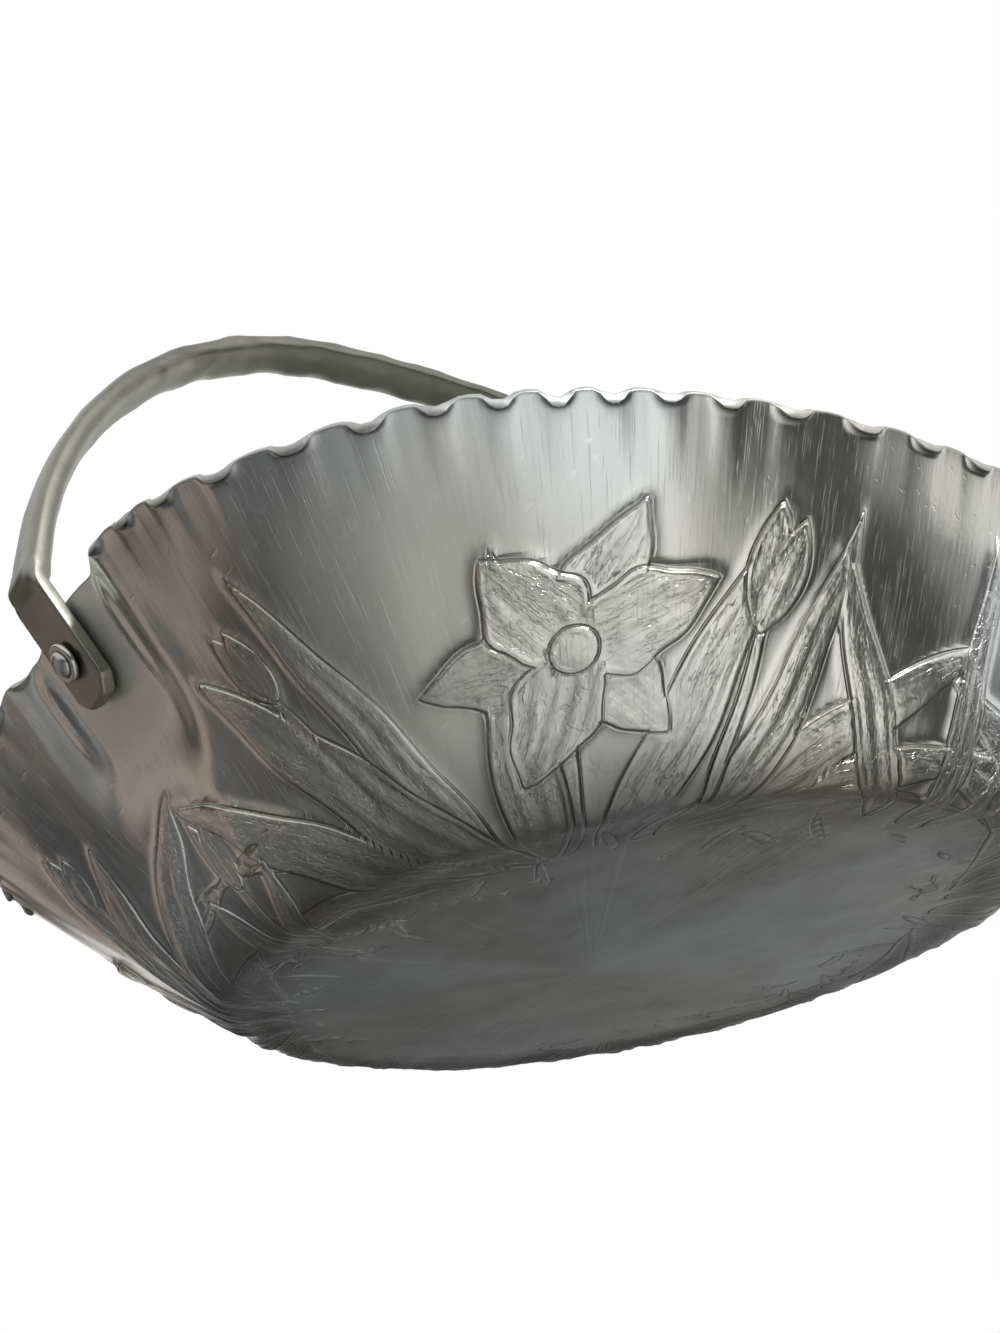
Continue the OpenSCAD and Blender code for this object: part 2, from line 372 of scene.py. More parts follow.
class SheetMarks:
    """What the sheet's finish is mixed from: attributes of its mesh, noise fields and chased lines."""

    def __init__(self, g: Graph, finish: DishMetal) -> None:
        """Adds the marks to a material.

        Args:
            g: The material's graph.
            finish: The finish that gives their scales.
        """
        place = g.place()
        self.motif = g.attribute("motif")
        self.foot = g.attribute("foot")
        self.wall = 1.0 - self.foot
        # Of these marks, low and curl carry painted shade, and the band beside the lug panels a painted
        # dark reflection.
        self.low = g.attribute("low")
        self.lip = g.attribute("lip")
        self.curl = g.attribute("curl")
        self.tarnish = g.attribute("tarnish")
        self.scuff = g.attribute("scuff")
        brushed = self.brushing(g, place, finish)
        self.streak = g.grain(brushed, finish.streak)
        self.broad = g.grain(brushed, finish.broad)
        upright = g.grain(g.stretch(brushed, finish.hair_upright), finish.hair)
        slanted = g.grain(g.stretch(place, finish.hair_slanted), finish.hair)
        self.scratch = (upright.eased(0.62, 0.72) + slanted.eased(0.66, 0.74)).limited()
        self.cloud = g.grain(place, finish.cloud)
        self.smear = g.grain(g.stretch(place, finish.smear_stretch), finish.smear)
        self.speck = g.grain(place, finish.speck)
        self.pits = g.grain(place, finish.pits)
        self.crumple = g.grain(place, finish.crumple)
        self.tint = g.grain(place, finish.tint).eased(0.38, 0.62)
        side, along = g.attribute("side") * finish.leaf_across, g.attribute("along") * finish.leaf_along
        leaf = g.node("ShaderNodeCombineXYZ", {}, {0: side, 1: along, 2: self.foot})
        self.wrinkle = g.grain(leaf, finish.wrinkle)
        groove, step, border = self.chasing(g)
        pressed = 0.25 + 0.75 * g.grain(place, finish.pressing).eased(0.34, 0.58)
        self.groove, self.step = groove * pressed, step * pressed
        self.grained = self.motif * (1.0 - border)
        self.worked = (self.motif + 0.4 * self.low).limited()
        wrinkled = ((self.wrinkle - 0.5) ** 2.0).eased(0.0016, 0.0003)
        self.crack = wrinkled * self.grained * self.smear.eased(0.42, 0.58)
        crumpled = ((self.crumple - 0.5) ** 2.0).eased(0.0008, 0.0002)
        self.vein = crumpled * self.worked * self.cloud.eased(0.48, 0.60)

    @staticmethod
    def brushing(g: Graph, place: Value, finish: DishMetal) -> Value:
        """Vector that runs quickly round the dish and slowly up its wall.

        Args:
            g: The material's graph.
            place: Object coordinates.
            finish: The finish that gives the number of streaks.

        Returns:
            The vector for brushed noise.
        """
        flat = g.stretch(place, (1.0, 1.0, 0.0))
        outwards = g.node("ShaderNodeVectorMath", {"operation": "NORMALIZE"}, {0: flat})
        ring = g.stretch(outwards, (finish.streaks, finish.streaks, 0.0))
        up = g.stretch(place, (0.0, 0.0, finish.climb))
        return g.node("ShaderNodeVectorMath", {"operation": "ADD"}, {0: ring, 1: up})

    @staticmethod
    def chasing(g: Graph) -> tuple[Value, Value, Value]:
        """Narrow groove outside every outline and step up inside it, from the signed distances on the mesh.

        Args:
            g: The material's graph.

        Returns:
            Shares of groove, step and the smoothed border beside them.
        """
        groove: Any = 0.0
        step: Any = 0.0
        border: Any = 0.0
        for layer in range(LINE_LAYERS):
            away = g.attribute(f"line{layer}")
            shown = g.attribute(f"shown{layer}")
            groove = groove + away.eased(-0.08, 0.10) * away.eased(0.40, 0.16) * shown
            step = step + (away.eased(0.10, -0.28) - 0.35 * away.eased(-0.35, -1.1)) * shown
            border = border + away.eased(-1.1, -0.5) * away.eased(1.2, 0.7) * shown
        return groove.limited(), step.limited(), border.limited()


@dataclass(frozen=True)
class BarMetal:
    """Forged aluminium bar, dull and a little warm, with bright worn edges."""

    name: str
    bright: Colour
    dull: Colour
    # Dark colour of the mottled dirt on the bar.
    soot: Colour = (0.10, 0.095, 0.08)
    gloss: float = 0.42
    pit_mm: float = 0.05
    speck_mm: float = 0.01
    cloud: Noise = Noise(55.0, 4.0, 0.6)
    mottle: Noise = Noise(260.0, 3.0, 0.6)
    speck: Noise = Noise(1500.0, 2.0, 0.6)

    def material(self) -> bpy.types.Material:
        """Builds the material."""
        made, g = new_material(self.name)
        place = g.place()
        worn = g.attribute("worn")
        cloud, mottle = g.grain(place, self.cloud), g.grain(place, self.mottle)
        tone = (0.42 + 1.2 * (cloud - 0.5) + 0.6 * (mottle - 0.5) + 0.40 * worn).limited()
        metal = g.blend(tone, self.dull, self.bright)
        # Mottled dirt, kept off the worn edges.
        shade_and_dirt_share = (mottle.eased(0.60, 0.90) * 0.3 * (1.0 - worn)).limited()
        metal = g.blend(shade_and_dirt_share, metal, self.soot)
        rough = (self.gloss + 0.22 * (cloud - 0.4) + 0.12 * (mottle - 0.5) - 0.08 * worn).limited()
        normal = g.bump(g.grain(place, self.speck), self.speck_mm, g.bump(mottle, self.pit_mm))
        g.surface({"Base Color": metal, "Metallic": 1.0, "Roughness": rough, "Normal": normal})
        return made


# Mesh helpers


def coordinates(verts: Iterable[bmesh.types.BMVert]) -> Array:
    """Places of vertices as rows of an array."""
    return np.array([v.co[:] for v in verts], float)


def move_to(verts: Iterable[bmesh.types.BMVert], places: Array) -> None:
    """Puts each vertex at the place in its row."""
    for vert, place in zip(verts, places):
        vert.co = place


def add_to_scene(thing: bpy.types.Object) -> None:
    """Links an object to the scene."""
    bpy.context.scene.collection.objects.link(thing)


def new_shape(*layers: str) -> bmesh.types.BMesh:
    """An empty bmesh with float attributes for its vertices."""
    bm = bmesh.new()
    for name in layers:
        bm.verts.layers.float.new(name)
    return bm


def set_layer(bm: bmesh.types.BMesh, name: str, verts: Iterable[bmesh.types.BMVert], values: Array) -> None:
    """Writes a float attribute on vertices."""
    layer = bm.verts.layers.float[name]
    for vert, value in zip(verts, values):
        vert[layer] = float(value)


def finish_piece(
    bm: bmesh.types.BMesh,
    name: str,
    finish: bpy.types.Material,
    body: Body,
    nodes: Sequence[str],
) -> bpy.types.Object:
    """Turns a bmesh into a piece of the object.

    Args:
        bm: The finished shape, which is freed.
        name: Name of the piece.
        finish: Its material.
        body: The body that it rides on.
        nodes: The CAD nodes that it stands for.

    Returns:
        The new object.
    """
    for face in bm.faces:
        face.smooth = True
    mesh = bpy.data.meshes.new(name)
    bm.to_mesh(mesh)
    bm.free()
    mesh.materials.append(finish)
    piece = bpy.data.objects.new(name, mesh)
    add_to_scene(piece)
    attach(piece, body.value)
    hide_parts(*nodes)
    LOG.info("%s: %d faces, rides on %s", name, len(mesh.polygons), body.value)
    return piece


# The dish


@dataclass(frozen=True)
class DishForm:
    """Sizes of the dish in millimetres and the formulas of its wall."""

    rim_half_x: float = 100.0
    rim_half_y: float = 102.0
    rim_power: float = 3.3
    base_half_x: float = 61.0
    base_half_y: float = 80.0
    rim_mean_z: float = 36.5
    rim_saddle: float = 4.8
    corner_dip: float = 6.0
    foot_blend: float = 4.0
    sheet_t: float = 1.1
    crimps: int = 72
    crimp_l: float = 1.9
    crimp_turn: float = math.radians(62.0)
    crimp_inset: float = 0.35
    crimp_sink: float = 1.25
    sink_l: float = 4.0
    crimp_flare: float = 0.24
    flare_l: float = 12.0
    crimp_start: float = 3.206
    crimp_corner: float = math.radians(233.0)
    crimp_crowding: tuple[float, ...] = (5.573, 2.005, 0.644)
    droop: float = 1.3
    droop_at: float = math.radians(215.0)
    droop_w: float = math.radians(10.0)
    panel_w: float = 24.0
    panel_l: float = 22.0
    panel_slope: float = math.radians(51.0)
    panel_recess: float = 2.6
    panel_blend: float = 12.0
    slope_step: float = 0.001

    @property
    def panel_x(self) -> float:
        """Distance of a lug panel's top edge from the middle."""
        return self.rim_half_x - self.panel_recess

    @property
    def panel_top(self) -> float:
        """Height of a lug panel's top edge."""
        return self.rim_mean_z + self.rim_saddle + self.corner_dip

    def out_dir(self) -> Vector:
        """Direction out of the right lug panel."""
        return Vector((math.sin(self.panel_slope), 0.0, -math.cos(self.panel_slope)))

    def down_dir(self) -> Vector:
        """Direction down along the right lug panel."""
        return Vector((-math.cos(self.panel_slope), 0.0, -math.sin(self.panel_slope)))

    def panel_point(self, down: float, out: float) -> Vector:
        """A place given by its way down the right panel and its way out of it."""
        return Vector((self.panel_x, 0.0, self.panel_top)) + down * self.down_dir() + out * self.out_dir()

    @staticmethod
    def plan_r(half_x: float, half_y: float, power: float, a: Array) -> Array:
        """Radius of a superellipse at an angle."""
        long = (np.abs(np.cos(a)) / half_x) ** power
        wide = (np.abs(np.sin(a)) / half_y) ** power
        return (long + wide) ** (-1.0 / power)

    def rim_r(self, a: Array) -> Array:
        """Radius of the rim."""
        return self.plan_r(self.rim_half_x, self.rim_half_y, self.rim_power, a)

    def rim_z(self, a: Array) -> Array:
        """Height of the rim."""
        return self.rim_mean_z + self.rim_saddle * np.cos(2 * a) + self.corner_dip * np.cos(4 * a)

    def flat_r(self, a: Array) -> Array:
        """Radius of the flat part of the base."""
        return self.plan_r(self.base_half_x, self.base_half_y, 2.0, a) - self.foot_blend

    def slant(self, a: Array) -> Array:
        """Length of the wall from foot to rim."""
        return np.hypot(self.rim_r(a) - self.flat_r(a), self.rim_z(a))

    def wall(self, a: Array, t: Array) -> tuple[Array, Array]:
        """Radius and height of the outside, where t is -1 at the middle, 0 at the foot and 1 at the rim."""
        run = self.rim_r(a) - self.flat_r(a)
        soft = self.foot_blend / run
        u = np.maximum(t, 0.0)
        rise = (np.sqrt(u * u + soft * soft) - soft) / (np.sqrt(1 + soft * soft) - soft)
        return self.flat_r(a) * (1.0 + np.minimum(t, 0.0)) + run * u, self.rim_z(a) * rise

    def panel_share(self, y: Array, z: Array) -> Array:
        """Share of the flat lug panel at a place across and up the wall."""
        across = 1.0 - smooth((np.abs(y) - self.panel_w / 2) / self.panel_blend)
        low_edge = self.panel_top - self.panel_l * math.sin(self.panel_slope)
        return across * smooth(1.0 + (z - low_edge) / self.panel_blend)

    def dip(self, a: Array) -> tuple[Array, Array]:
        """Hand-made rhythm of the crimps.

        Args:
            a: Angle round the dish.

        Returns:
            Scoops with flat crests and plain waves, both from 0 at a crest to 1 in a dip.
        """
        phase = self.crimps * a + self.crimp_start + 0.3 * waves(a, (3, 5, 8, 13), 11)
        for k, share in enumerate(self.crimp_crowding, 1):
            phase = phase + share * np.sin(4 * k * (a - self.crimp_corner))
        scoop = np.clip((np.cos(phase) + 0.3) / 1.3, 0.0, 1.0)
        return 0.55 * scoop * (2.0 - scoop) + 0.45 * smooth(scoop), 0.5 + 0.5 * np.cos(phase)

    def crimp(self, a: Array, t: Array) -> tuple[Array, Array, Array]:
        """Crimps, at each of which the last few millimetres of sheet sink and curl outwards.

        Args:
            a: Angle round the dish.
            t: Place up the wall.

        Returns:
            How far the sheet turns outwards, moves out from the wall and moves back down along it.
        """
        dip, wave = self.dip(a)
        deep = 1.0 + 0.15 * waves(a, (7, 11, 16, 23, 31), 12)
        turn = np.maximum(self.crimp_turn * deep * (0.04 + 0.96 * dip), 0.02)
        below = (1.0 - t) * self.slant(a)
        bent = np.clip(1.0 - below / self.crimp_l, 0.0, 1.0)
        flare = self.crimp_flare * (dip - 0.5) * smooth(1.0 - below / self.flare_l)
        out = self.crimp_l / turn * (1.0 - np.cos(turn * bent)) + flare
        sink = self.crimp_sink * deep * (0.7 * dip + 0.3 * wave)
        sink = sink * np.square(np.clip(1.0 - below / self.sink_l, 0.0, 1.0))
        back = self.crimp_l * bent - self.crimp_l / turn * np.sin(turn * bent) + sink
        return turn * bent, out, back

    def unevenness(self, a: Array, t: Array) -> Array:
        """Soft hand-made waves of the wall, outwards."""
        broad = 0.55 * waves(a + 0.25 * t, (6, 9, 13, 16), 21)
        small = 0.24 * waves(a - 0.12 * t, (19, 24, 29, 37), 22)
        fade = smooth(t / 0.35) * (1.0 - 0.5 * smooth((t - 0.7) / 0.3))
        return (broad + small - 0.35 * smooth((t - 0.6) / 0.4)) * fade

    def point(self, a: Array, t: Array, depth: Array) -> Array:
        """Place of the sheet, at a depth inwards from its plain outside.

        Args:
            a: Angle round the dish.
            t: Place up the wall, from -1 at the middle of the base to 1 at the rim.
            depth: Depth from the outside, less any relief.

        Returns:
            Places in millimetres, one row each.
        """
        r, z = self.wall(a, t)
        r2, z2 = self.wall(a, t + self.slope_step)
        length = np.hypot(r2 - r, z2 - z)
        along_r, along_z = (r2 - r) / length, (z2 - z) / length
        share = self.panel_share(r * np.sin(a), z)
        turn, out, back = (1.0 - share) * np.stack(self.crimp(a, t))
        inset = self.crimp_inset * smooth((t - 0.75) / 0.25) * (1.0 - share)
        outwards = out - inset - depth * np.cos(turn)
        upwards = depth * np.sin(turn) - back
        r, z = r + outwards * along_z + upwards * along_r, z - outwards * along_r + upwards * along_z
        z = z - self.droop * bell(a - self.droop_at, self.droop_w) * smooth((t - 0.45) / 0.55)
        x, y = r * np.cos(a), r * np.sin(a)
        panel = self.panel_x - (self.panel_top - z) / math.tan(self.panel_slope)
        panel = panel - depth / math.sin(self.panel_slope)
        x = np.sign(x) * (np.abs(x) + (panel - np.abs(x)) * share)
        return np.stack([x, y, z], axis=1)


@dataclass
class Layers:
    """Relief on the sheet while its motifs are laid one over another.

    A motif's share fades over the edge, its height over the slope. Its own grain ends at the overlap where
    it lies on another motif, and at the apron on bare sheet. Distances are kept up to the reach.
    """

    height: Array
    motif: Array
    along: Array
    side: Array
    lines: Array
    shown: Array
    edge: ClassVar[float] = 1.3
    slope: ClassVar[float] = 3.1
    overlap: ClassVar[float] = 0.3
    apron: ClassVar[float] = 2.4
    bare: ClassVar[float] = 0.02
    reach: ClassVar[float] = 4.0

    @classmethod
    def plain(cls, count: int) -> Layers:
        """A sheet without motifs."""
        zeros = [np.zeros(count) for _ in range(4)]
        return cls(*zeros, np.full((count, LINE_LAYERS), cls.reach), np.ones((count, LINE_LAYERS)))

    def lay(self, near: Array, layer: int, away: Array, inside: Array, along: Array, side: Array) -> None:
        """Lays one motif over what is there.

        Args:
            near: Indices of the places that it reaches.
            layer: Which set of outlines it belongs to.
            away: Signed distance to its outline, negative inside.
            inside: Height of its surface.
            along: Way along it from its root.
            side: Way across it from its axis.
        """
        share = smooth(0.5 - away / self.edge)
        self.height[near] += (inside - self.height[near]) * smooth(0.5 - away / self.slope)
        own = (away < self.overlap) | ((away < self.apron) & (self.motif[near] < self.bare))
        self.along[near[own]] = along[own]
        self.side[near[own]] = side[own]
        self.motif[near] = np.maximum(self.motif[near], share)
        self.shown[near] *= (1.0 - share)[:, None]
        closer = away < self.lines[near, layer]
        self.lines[near[closer], layer] = np.maximum(away[closer], -self.reach)
        self.shown[near[closer], layer] = 1.0


@dataclass(frozen=True)
class Leaf:
    """A long leaf, a petal, a bud or a stalk: one form along a bent axis."""

    angle: float
    up: float
    heading: float
    length: float
    half_w: float
    bend: float = 0.0
    layer: int = 0
    root: float = 0.6
    tip: float = 0.85
    lift: float = 0.35
    ribs: tuple[float, ...] = (0.0,)
    rib_mm: float = 0.30
    ruffle: float = 0.0
    cup: float = 0.25
    tilt: float = 0.0

    def width(self, mid: Array, side: Array) -> Array:
        """Half width at a share of the length."""
        peak = self.root / (self.root + self.tip)
        top = peak**self.root * (1 - peak) ** self.tip
        plain = self.half_w * mid**self.root * (1 - mid) ** self.tip / top
        return plain * (1.0 + self.ruffle * np.sin(15.0 * mid + 0.9 * self.heading) * np.sign(side))

    def lay(self, layers: Layers, near: Array, x: Array, y: Array) -> None:
        """Lays the form on the sheet.

        Args:
            layers: The relief so far.
            near: Indices of the places within reach.
            x: Way round from the form's root, in millimetres.
            y: Way up from the form's root, in millimetres.
        """
        turn = math.radians(self.heading)
        along = x * math.sin(turn) + y * math.cos(turn)
        mid = np.clip(along / self.length, 0.0, 1.0)
        side = x * math.cos(turn) - y * math.sin(turn) - self.bend * mid * mid
        side = side + 0.25 * np.sin(0.31 * along + self.heading)
        width = self.width(mid, side)
        step, steepest = 0.004, 2.5
        before, after = np.clip(mid - step, 0.0, 1.0), np.clip(mid + step, 0.0, 1.0)
        slope = (self.width(after, side) - self.width(before, side)) / (2 * step * self.length)
        lean = np.sqrt(1.0 + np.clip(slope, -steepest, steepest) ** 2)
        past = np.maximum(np.maximum(-along, along - self.length), 0.0)
        away = np.where(past > 0.0, np.hypot(past, side / lean), (np.abs(side) - width) / lean)
        across = np.clip(np.abs(side) / np.maximum(width, 0.3), 0.0, 1.0)
        inside = self.lift * (1.0 - self.cup + self.cup * across**2 + self.tilt * across * np.sign(side))
        for rib in self.ribs:
            fade = smooth(mid / 0.12) * smooth((1.0 - mid) / 0.25)
            inside = inside + self.rib_mm * bell(side - rib * width, 0.6) * fade
        layers.lay(near, self.layer, away, inside, along, side)


@dataclass(frozen=True)
class Eye:
    """The seed head in the middle of a blossom."""

    angle: float
    up: float
    length: float
    layer: int = 2

    def lay(self, layers: Layers, near: Array, x: Array, y: Array) -> None:
        """Lays the seed head on the sheet."""
        rho = np.hypot(x, y)
        dots = 0.18 * np.cos(2.6 * x) * np.cos(2.6 * y)
        dome = 1.3 * np.sqrt(np.clip(1.0 - (rho / (1.25 * self.length)) ** 2, 0.0, 1.0))
        layers.lay(near, self.layer, rho - self.length, dome + dots, y, x)


@dataclass
class Relief:
    """Lilies and lance leaves chased all round the wall.

    A spray is given by its angle, by 1 or -1 for its mirror image, and by its size. A leaf whose half width
    is not above stroke_w is a plain stroke without ribs. The middle of the wall lies at the radius mid_r,
    and a form touches no place farther off than reach_share of its length and reach_mm.
    """

    forms: list[Leaf | Eye] = field(default_factory=list)
    seed: int = 5
    mid_r: float = 92.0
    least_r: float = 20.0
    stroke_w: float = 1.0
    reach_share: float = 1.3
    reach_mm: float = 8.0
    sprays: tuple[tuple[float, int, float], ...] = (
        (228.0, 1, 1.0),
        (308.0, -1, 0.98),
        (48.0, 1, 1.0),
        (128.0, -1, 0.98),
    )
    tufts: tuple[float, ...] = (90.0, 268.0)
    sprigs: tuple[float, ...] = (0.0, 180.0)
    dab_count: int = 44

    def __post_init__(self) -> None:
        """Lays out the motifs round the dish."""
        rng = np.random.default_rng(self.seed)
        for centre, flip, size in self.sprays:
            self.spray(centre, flip, size, rng)
        for centre in self.tufts:
            self.tuft(centre, rng)
        for centre in self.sprigs:
            self.sprig(centre, rng)
        self.dabs(rng)

    def around(self, mm: float) -> float:
        """Degrees for a way round the middle of the wall."""
        return math.degrees(mm / self.mid_r)

    def dabs(self, rng: np.random.Generator) -> None:
        """Short strokes at all slants round the edge of the base."""
        for k in range(self.dab_count):
            centre = 360.0 * (k + rng.uniform(0.1, 0.9)) / self.dab_count
            up = rng.uniform(-19.0, -9.0)
            heading = rng.uniform(-85.0, 85.0)
            length = rng.uniform(6.0, 13.0)
            half_w = rng.uniform(0.45, 0.9)
            bend = rng.uniform(-2.5, 2.5)
            self.blades(centre, 1, 1.0, ((0.0, up, heading, length, half_w, bend),), rng)

    def blades(
        self, centre: float, flip: int, size: float, rows: Sequence[Blade], rng: np.random.Generator
    ) -> None:
        """Lays long leaves.

        Args:
            centre: Angle of the tuft that they grow from.
            flip: -1 for a mirrored tuft.
            size: Scale of the tuft.
            rows: Way round, way up, heading, length, half width and bend of each leaf.
            rng: Source of the hand-made differences.
        """
        for k, (way, up, heading, length, half_w, bend) in enumerate(rows):
            ribbed = half_w > self.stroke_w
            self.forms.append(
                Leaf(
                    centre + flip * self.around(way * size),
                    up,
                    flip * (heading + rng.uniform(-3, 3)),
                    size * length * rng.uniform(0.95, 1.05),
                    half_w * rng.uniform(0.92, 1.08),
                    flip * bend,
                    layer=k % LINE_LAYERS,
                    cup=rng.uniform(-0.2, 0.6),
                    lift=rng.uniform(0.5, 0.8) if ribbed else 0.4,
                    tilt=rng.choice((-1.0, 1.0)) * rng.uniform(0.2, 0.5),
                    ribs=(-0.35, 0.4) if ribbed else (),
                )
            )

    def spray(self, centre: float, flip: int, size: float, rng: np.random.Generator) -> None:
        """One corner's spray: sweeping stalks, blades, a lily and buds."""
        sweeps = (
            (-12.0, -1.0, -84.0, 66.0, 0.7, -22.0),
            (-9.0, -2.0, -59.0, 74.0, 0.7, -20.0),
            (16.0, -3.0, 74.0, 48.0, 0.6, 10.0),
        )
        blades = (
            (-16.0, -7.0, -66.0, 38.0, 3.4, -5.0),
            (18.0, -7.0, 62.0, 52.0, 3.2, 10.0),
            (2.0, -9.0, 2.0, 53.0, 3.4, -6.0),
            (-8.0, -8.0, -21.0, 64.0, 3.6, -7.0),
            (15.0, -8.0, 50.0, 58.0, 3.4, 9.0),
            (-12.0, -8.0, -52.0, 70.0, 4.2, -9.0),
            (20.0, -8.0, 34.0, 52.0, 3.0, -6.0),
            (9.0, -8.0, 24.0, 51.0, 4.4, 6.0),
            (-4.0, -9.0, -36.0, 66.0, 4.4, -5.0),
            (0.0, -9.0, -8.0, 46.0, 4.2, 4.0),
        )
        self.blades(centre, flip, size, sweeps, rng)
        self.blades(centre, flip, size, blades, rng)
        self.bud(centre + flip * self.around(30.0 * size), 24.0 * size, flip * 12.0, 15.0 * size)
        self.bud(centre - flip * self.around(36.0 * size), 32.0 * size, -flip * 24.0, 13.0 * size)
        self.blossom(centre + flip * self.around(7.0 * size), 27.0 * size, 18.5 * size, rng)

    def tuft(self, centre: float, rng: np.random.Generator) -> None:
        """A tuft of upright blades in the middle of a free side."""
        rows = (
            (-7.0, -5.0, -24.0, 44.0, 2.7, -3.0),
            (7.0, -5.0, 20.0, 48.0, 2.8, 4.0),
            (1.0, -6.0, -3.0, 52.0, 3.0, 2.0),
        )
        self.blades(centre, 1, 1.0, rows, rng)

    def blossom(self, angle: float, up: float, radius: float, rng: np.random.Generator) -> None:
        """Six pointed petals in two layers round a seed head."""
        first = rng.uniform(0.0, 60.0)
        for layer, share, half_w in ((0, 1.0, 0.28), (1, 0.96, 0.31)):
            for k in range(3):
                self.forms.append(
                    Leaf(
                        angle,
                        up,
                        first + 120.0 * k + 60.0 * layer + rng.uniform(-6, 6),
                        radius * share * rng.uniform(0.92, 1.06),
                        radius * half_w,
                        rng.uniform(-2.5, 2.5),
                        layer=layer,
                        root=0.62,
                        tip=1.02,
                        lift=0.85 + 0.3 * layer,
                        ribs=(-0.42, 0.0, 0.42),
                        rib_mm=0.32,
                        ruffle=0.07,
                        cup=0.6,
                        tilt=rng.uniform(-0.7, 0.7),
                    )
                )
        self.forms.append(Eye(angle, up, radius * 0.16))

    def bud(self, angle: float, up: float, heading: float, length: float) -> None:
        """A closed bud of two lobes on its stalk."""
        stalk = 1.7 * length
        turn = math.radians(heading)
        foot = angle - self.around(0.9 * stalk * math.sin(turn))
        foot_up = up - 0.9 * stalk * math.cos(turn)
        self.forms.append(Leaf(foot, foot_up, heading, stalk, 0.8, layer=2, ribs=(), root=0.2, tip=0.2))
        for layer, lean, share in ((0, -7.0, 1.0), (1, 9.0, 0.9)):
            self.forms.append(
                Leaf(
                    angle,
                    up,
                    heading + lean,
                    length * share,
                    0.2 * length,
                    layer=layer,
                    root=0.8,
                    tip=0.95,
                    lift=0.5,
                )
            )

    def sprig(self, centre: float, rng: np.random.Generator) -> None:
        """A bud with two short leaves under a lug."""
        rows = (
            (-2.0, -6.0, -22.0, 24.0, 2.4, -2.0),
            (2.0, -6.0, 20.0, 22.0, 2.3, 2.0),
        )
        self.blades(centre, 1, 1.0, rows, rng)
        self.bud(centre, 13.0, -4.0, 13.0)

    def sample(self, angle: Array, radius: Array, up: Array) -> Layers:
        """Relief at places on the sheet.

        Args:
            angle: Angles round the dish.
            radius: Distances from the axis.
            up: Ways up the wall from the foot, negative on the base.

        Returns:
            The laid relief.
        """
        whole = Layers.plain(len(angle))
        for form in self.forms:
            off = (angle - math.radians(form.angle) + math.pi) % TAU - math.pi
            x, y = off * np.maximum(radius, self.least_r), up - form.up
            near = np.flatnonzero(np.hypot(x, y) < self.reach_share * form.length + self.reach_mm)
            form.lay(whole, near, x[near], y[near])
        return whole


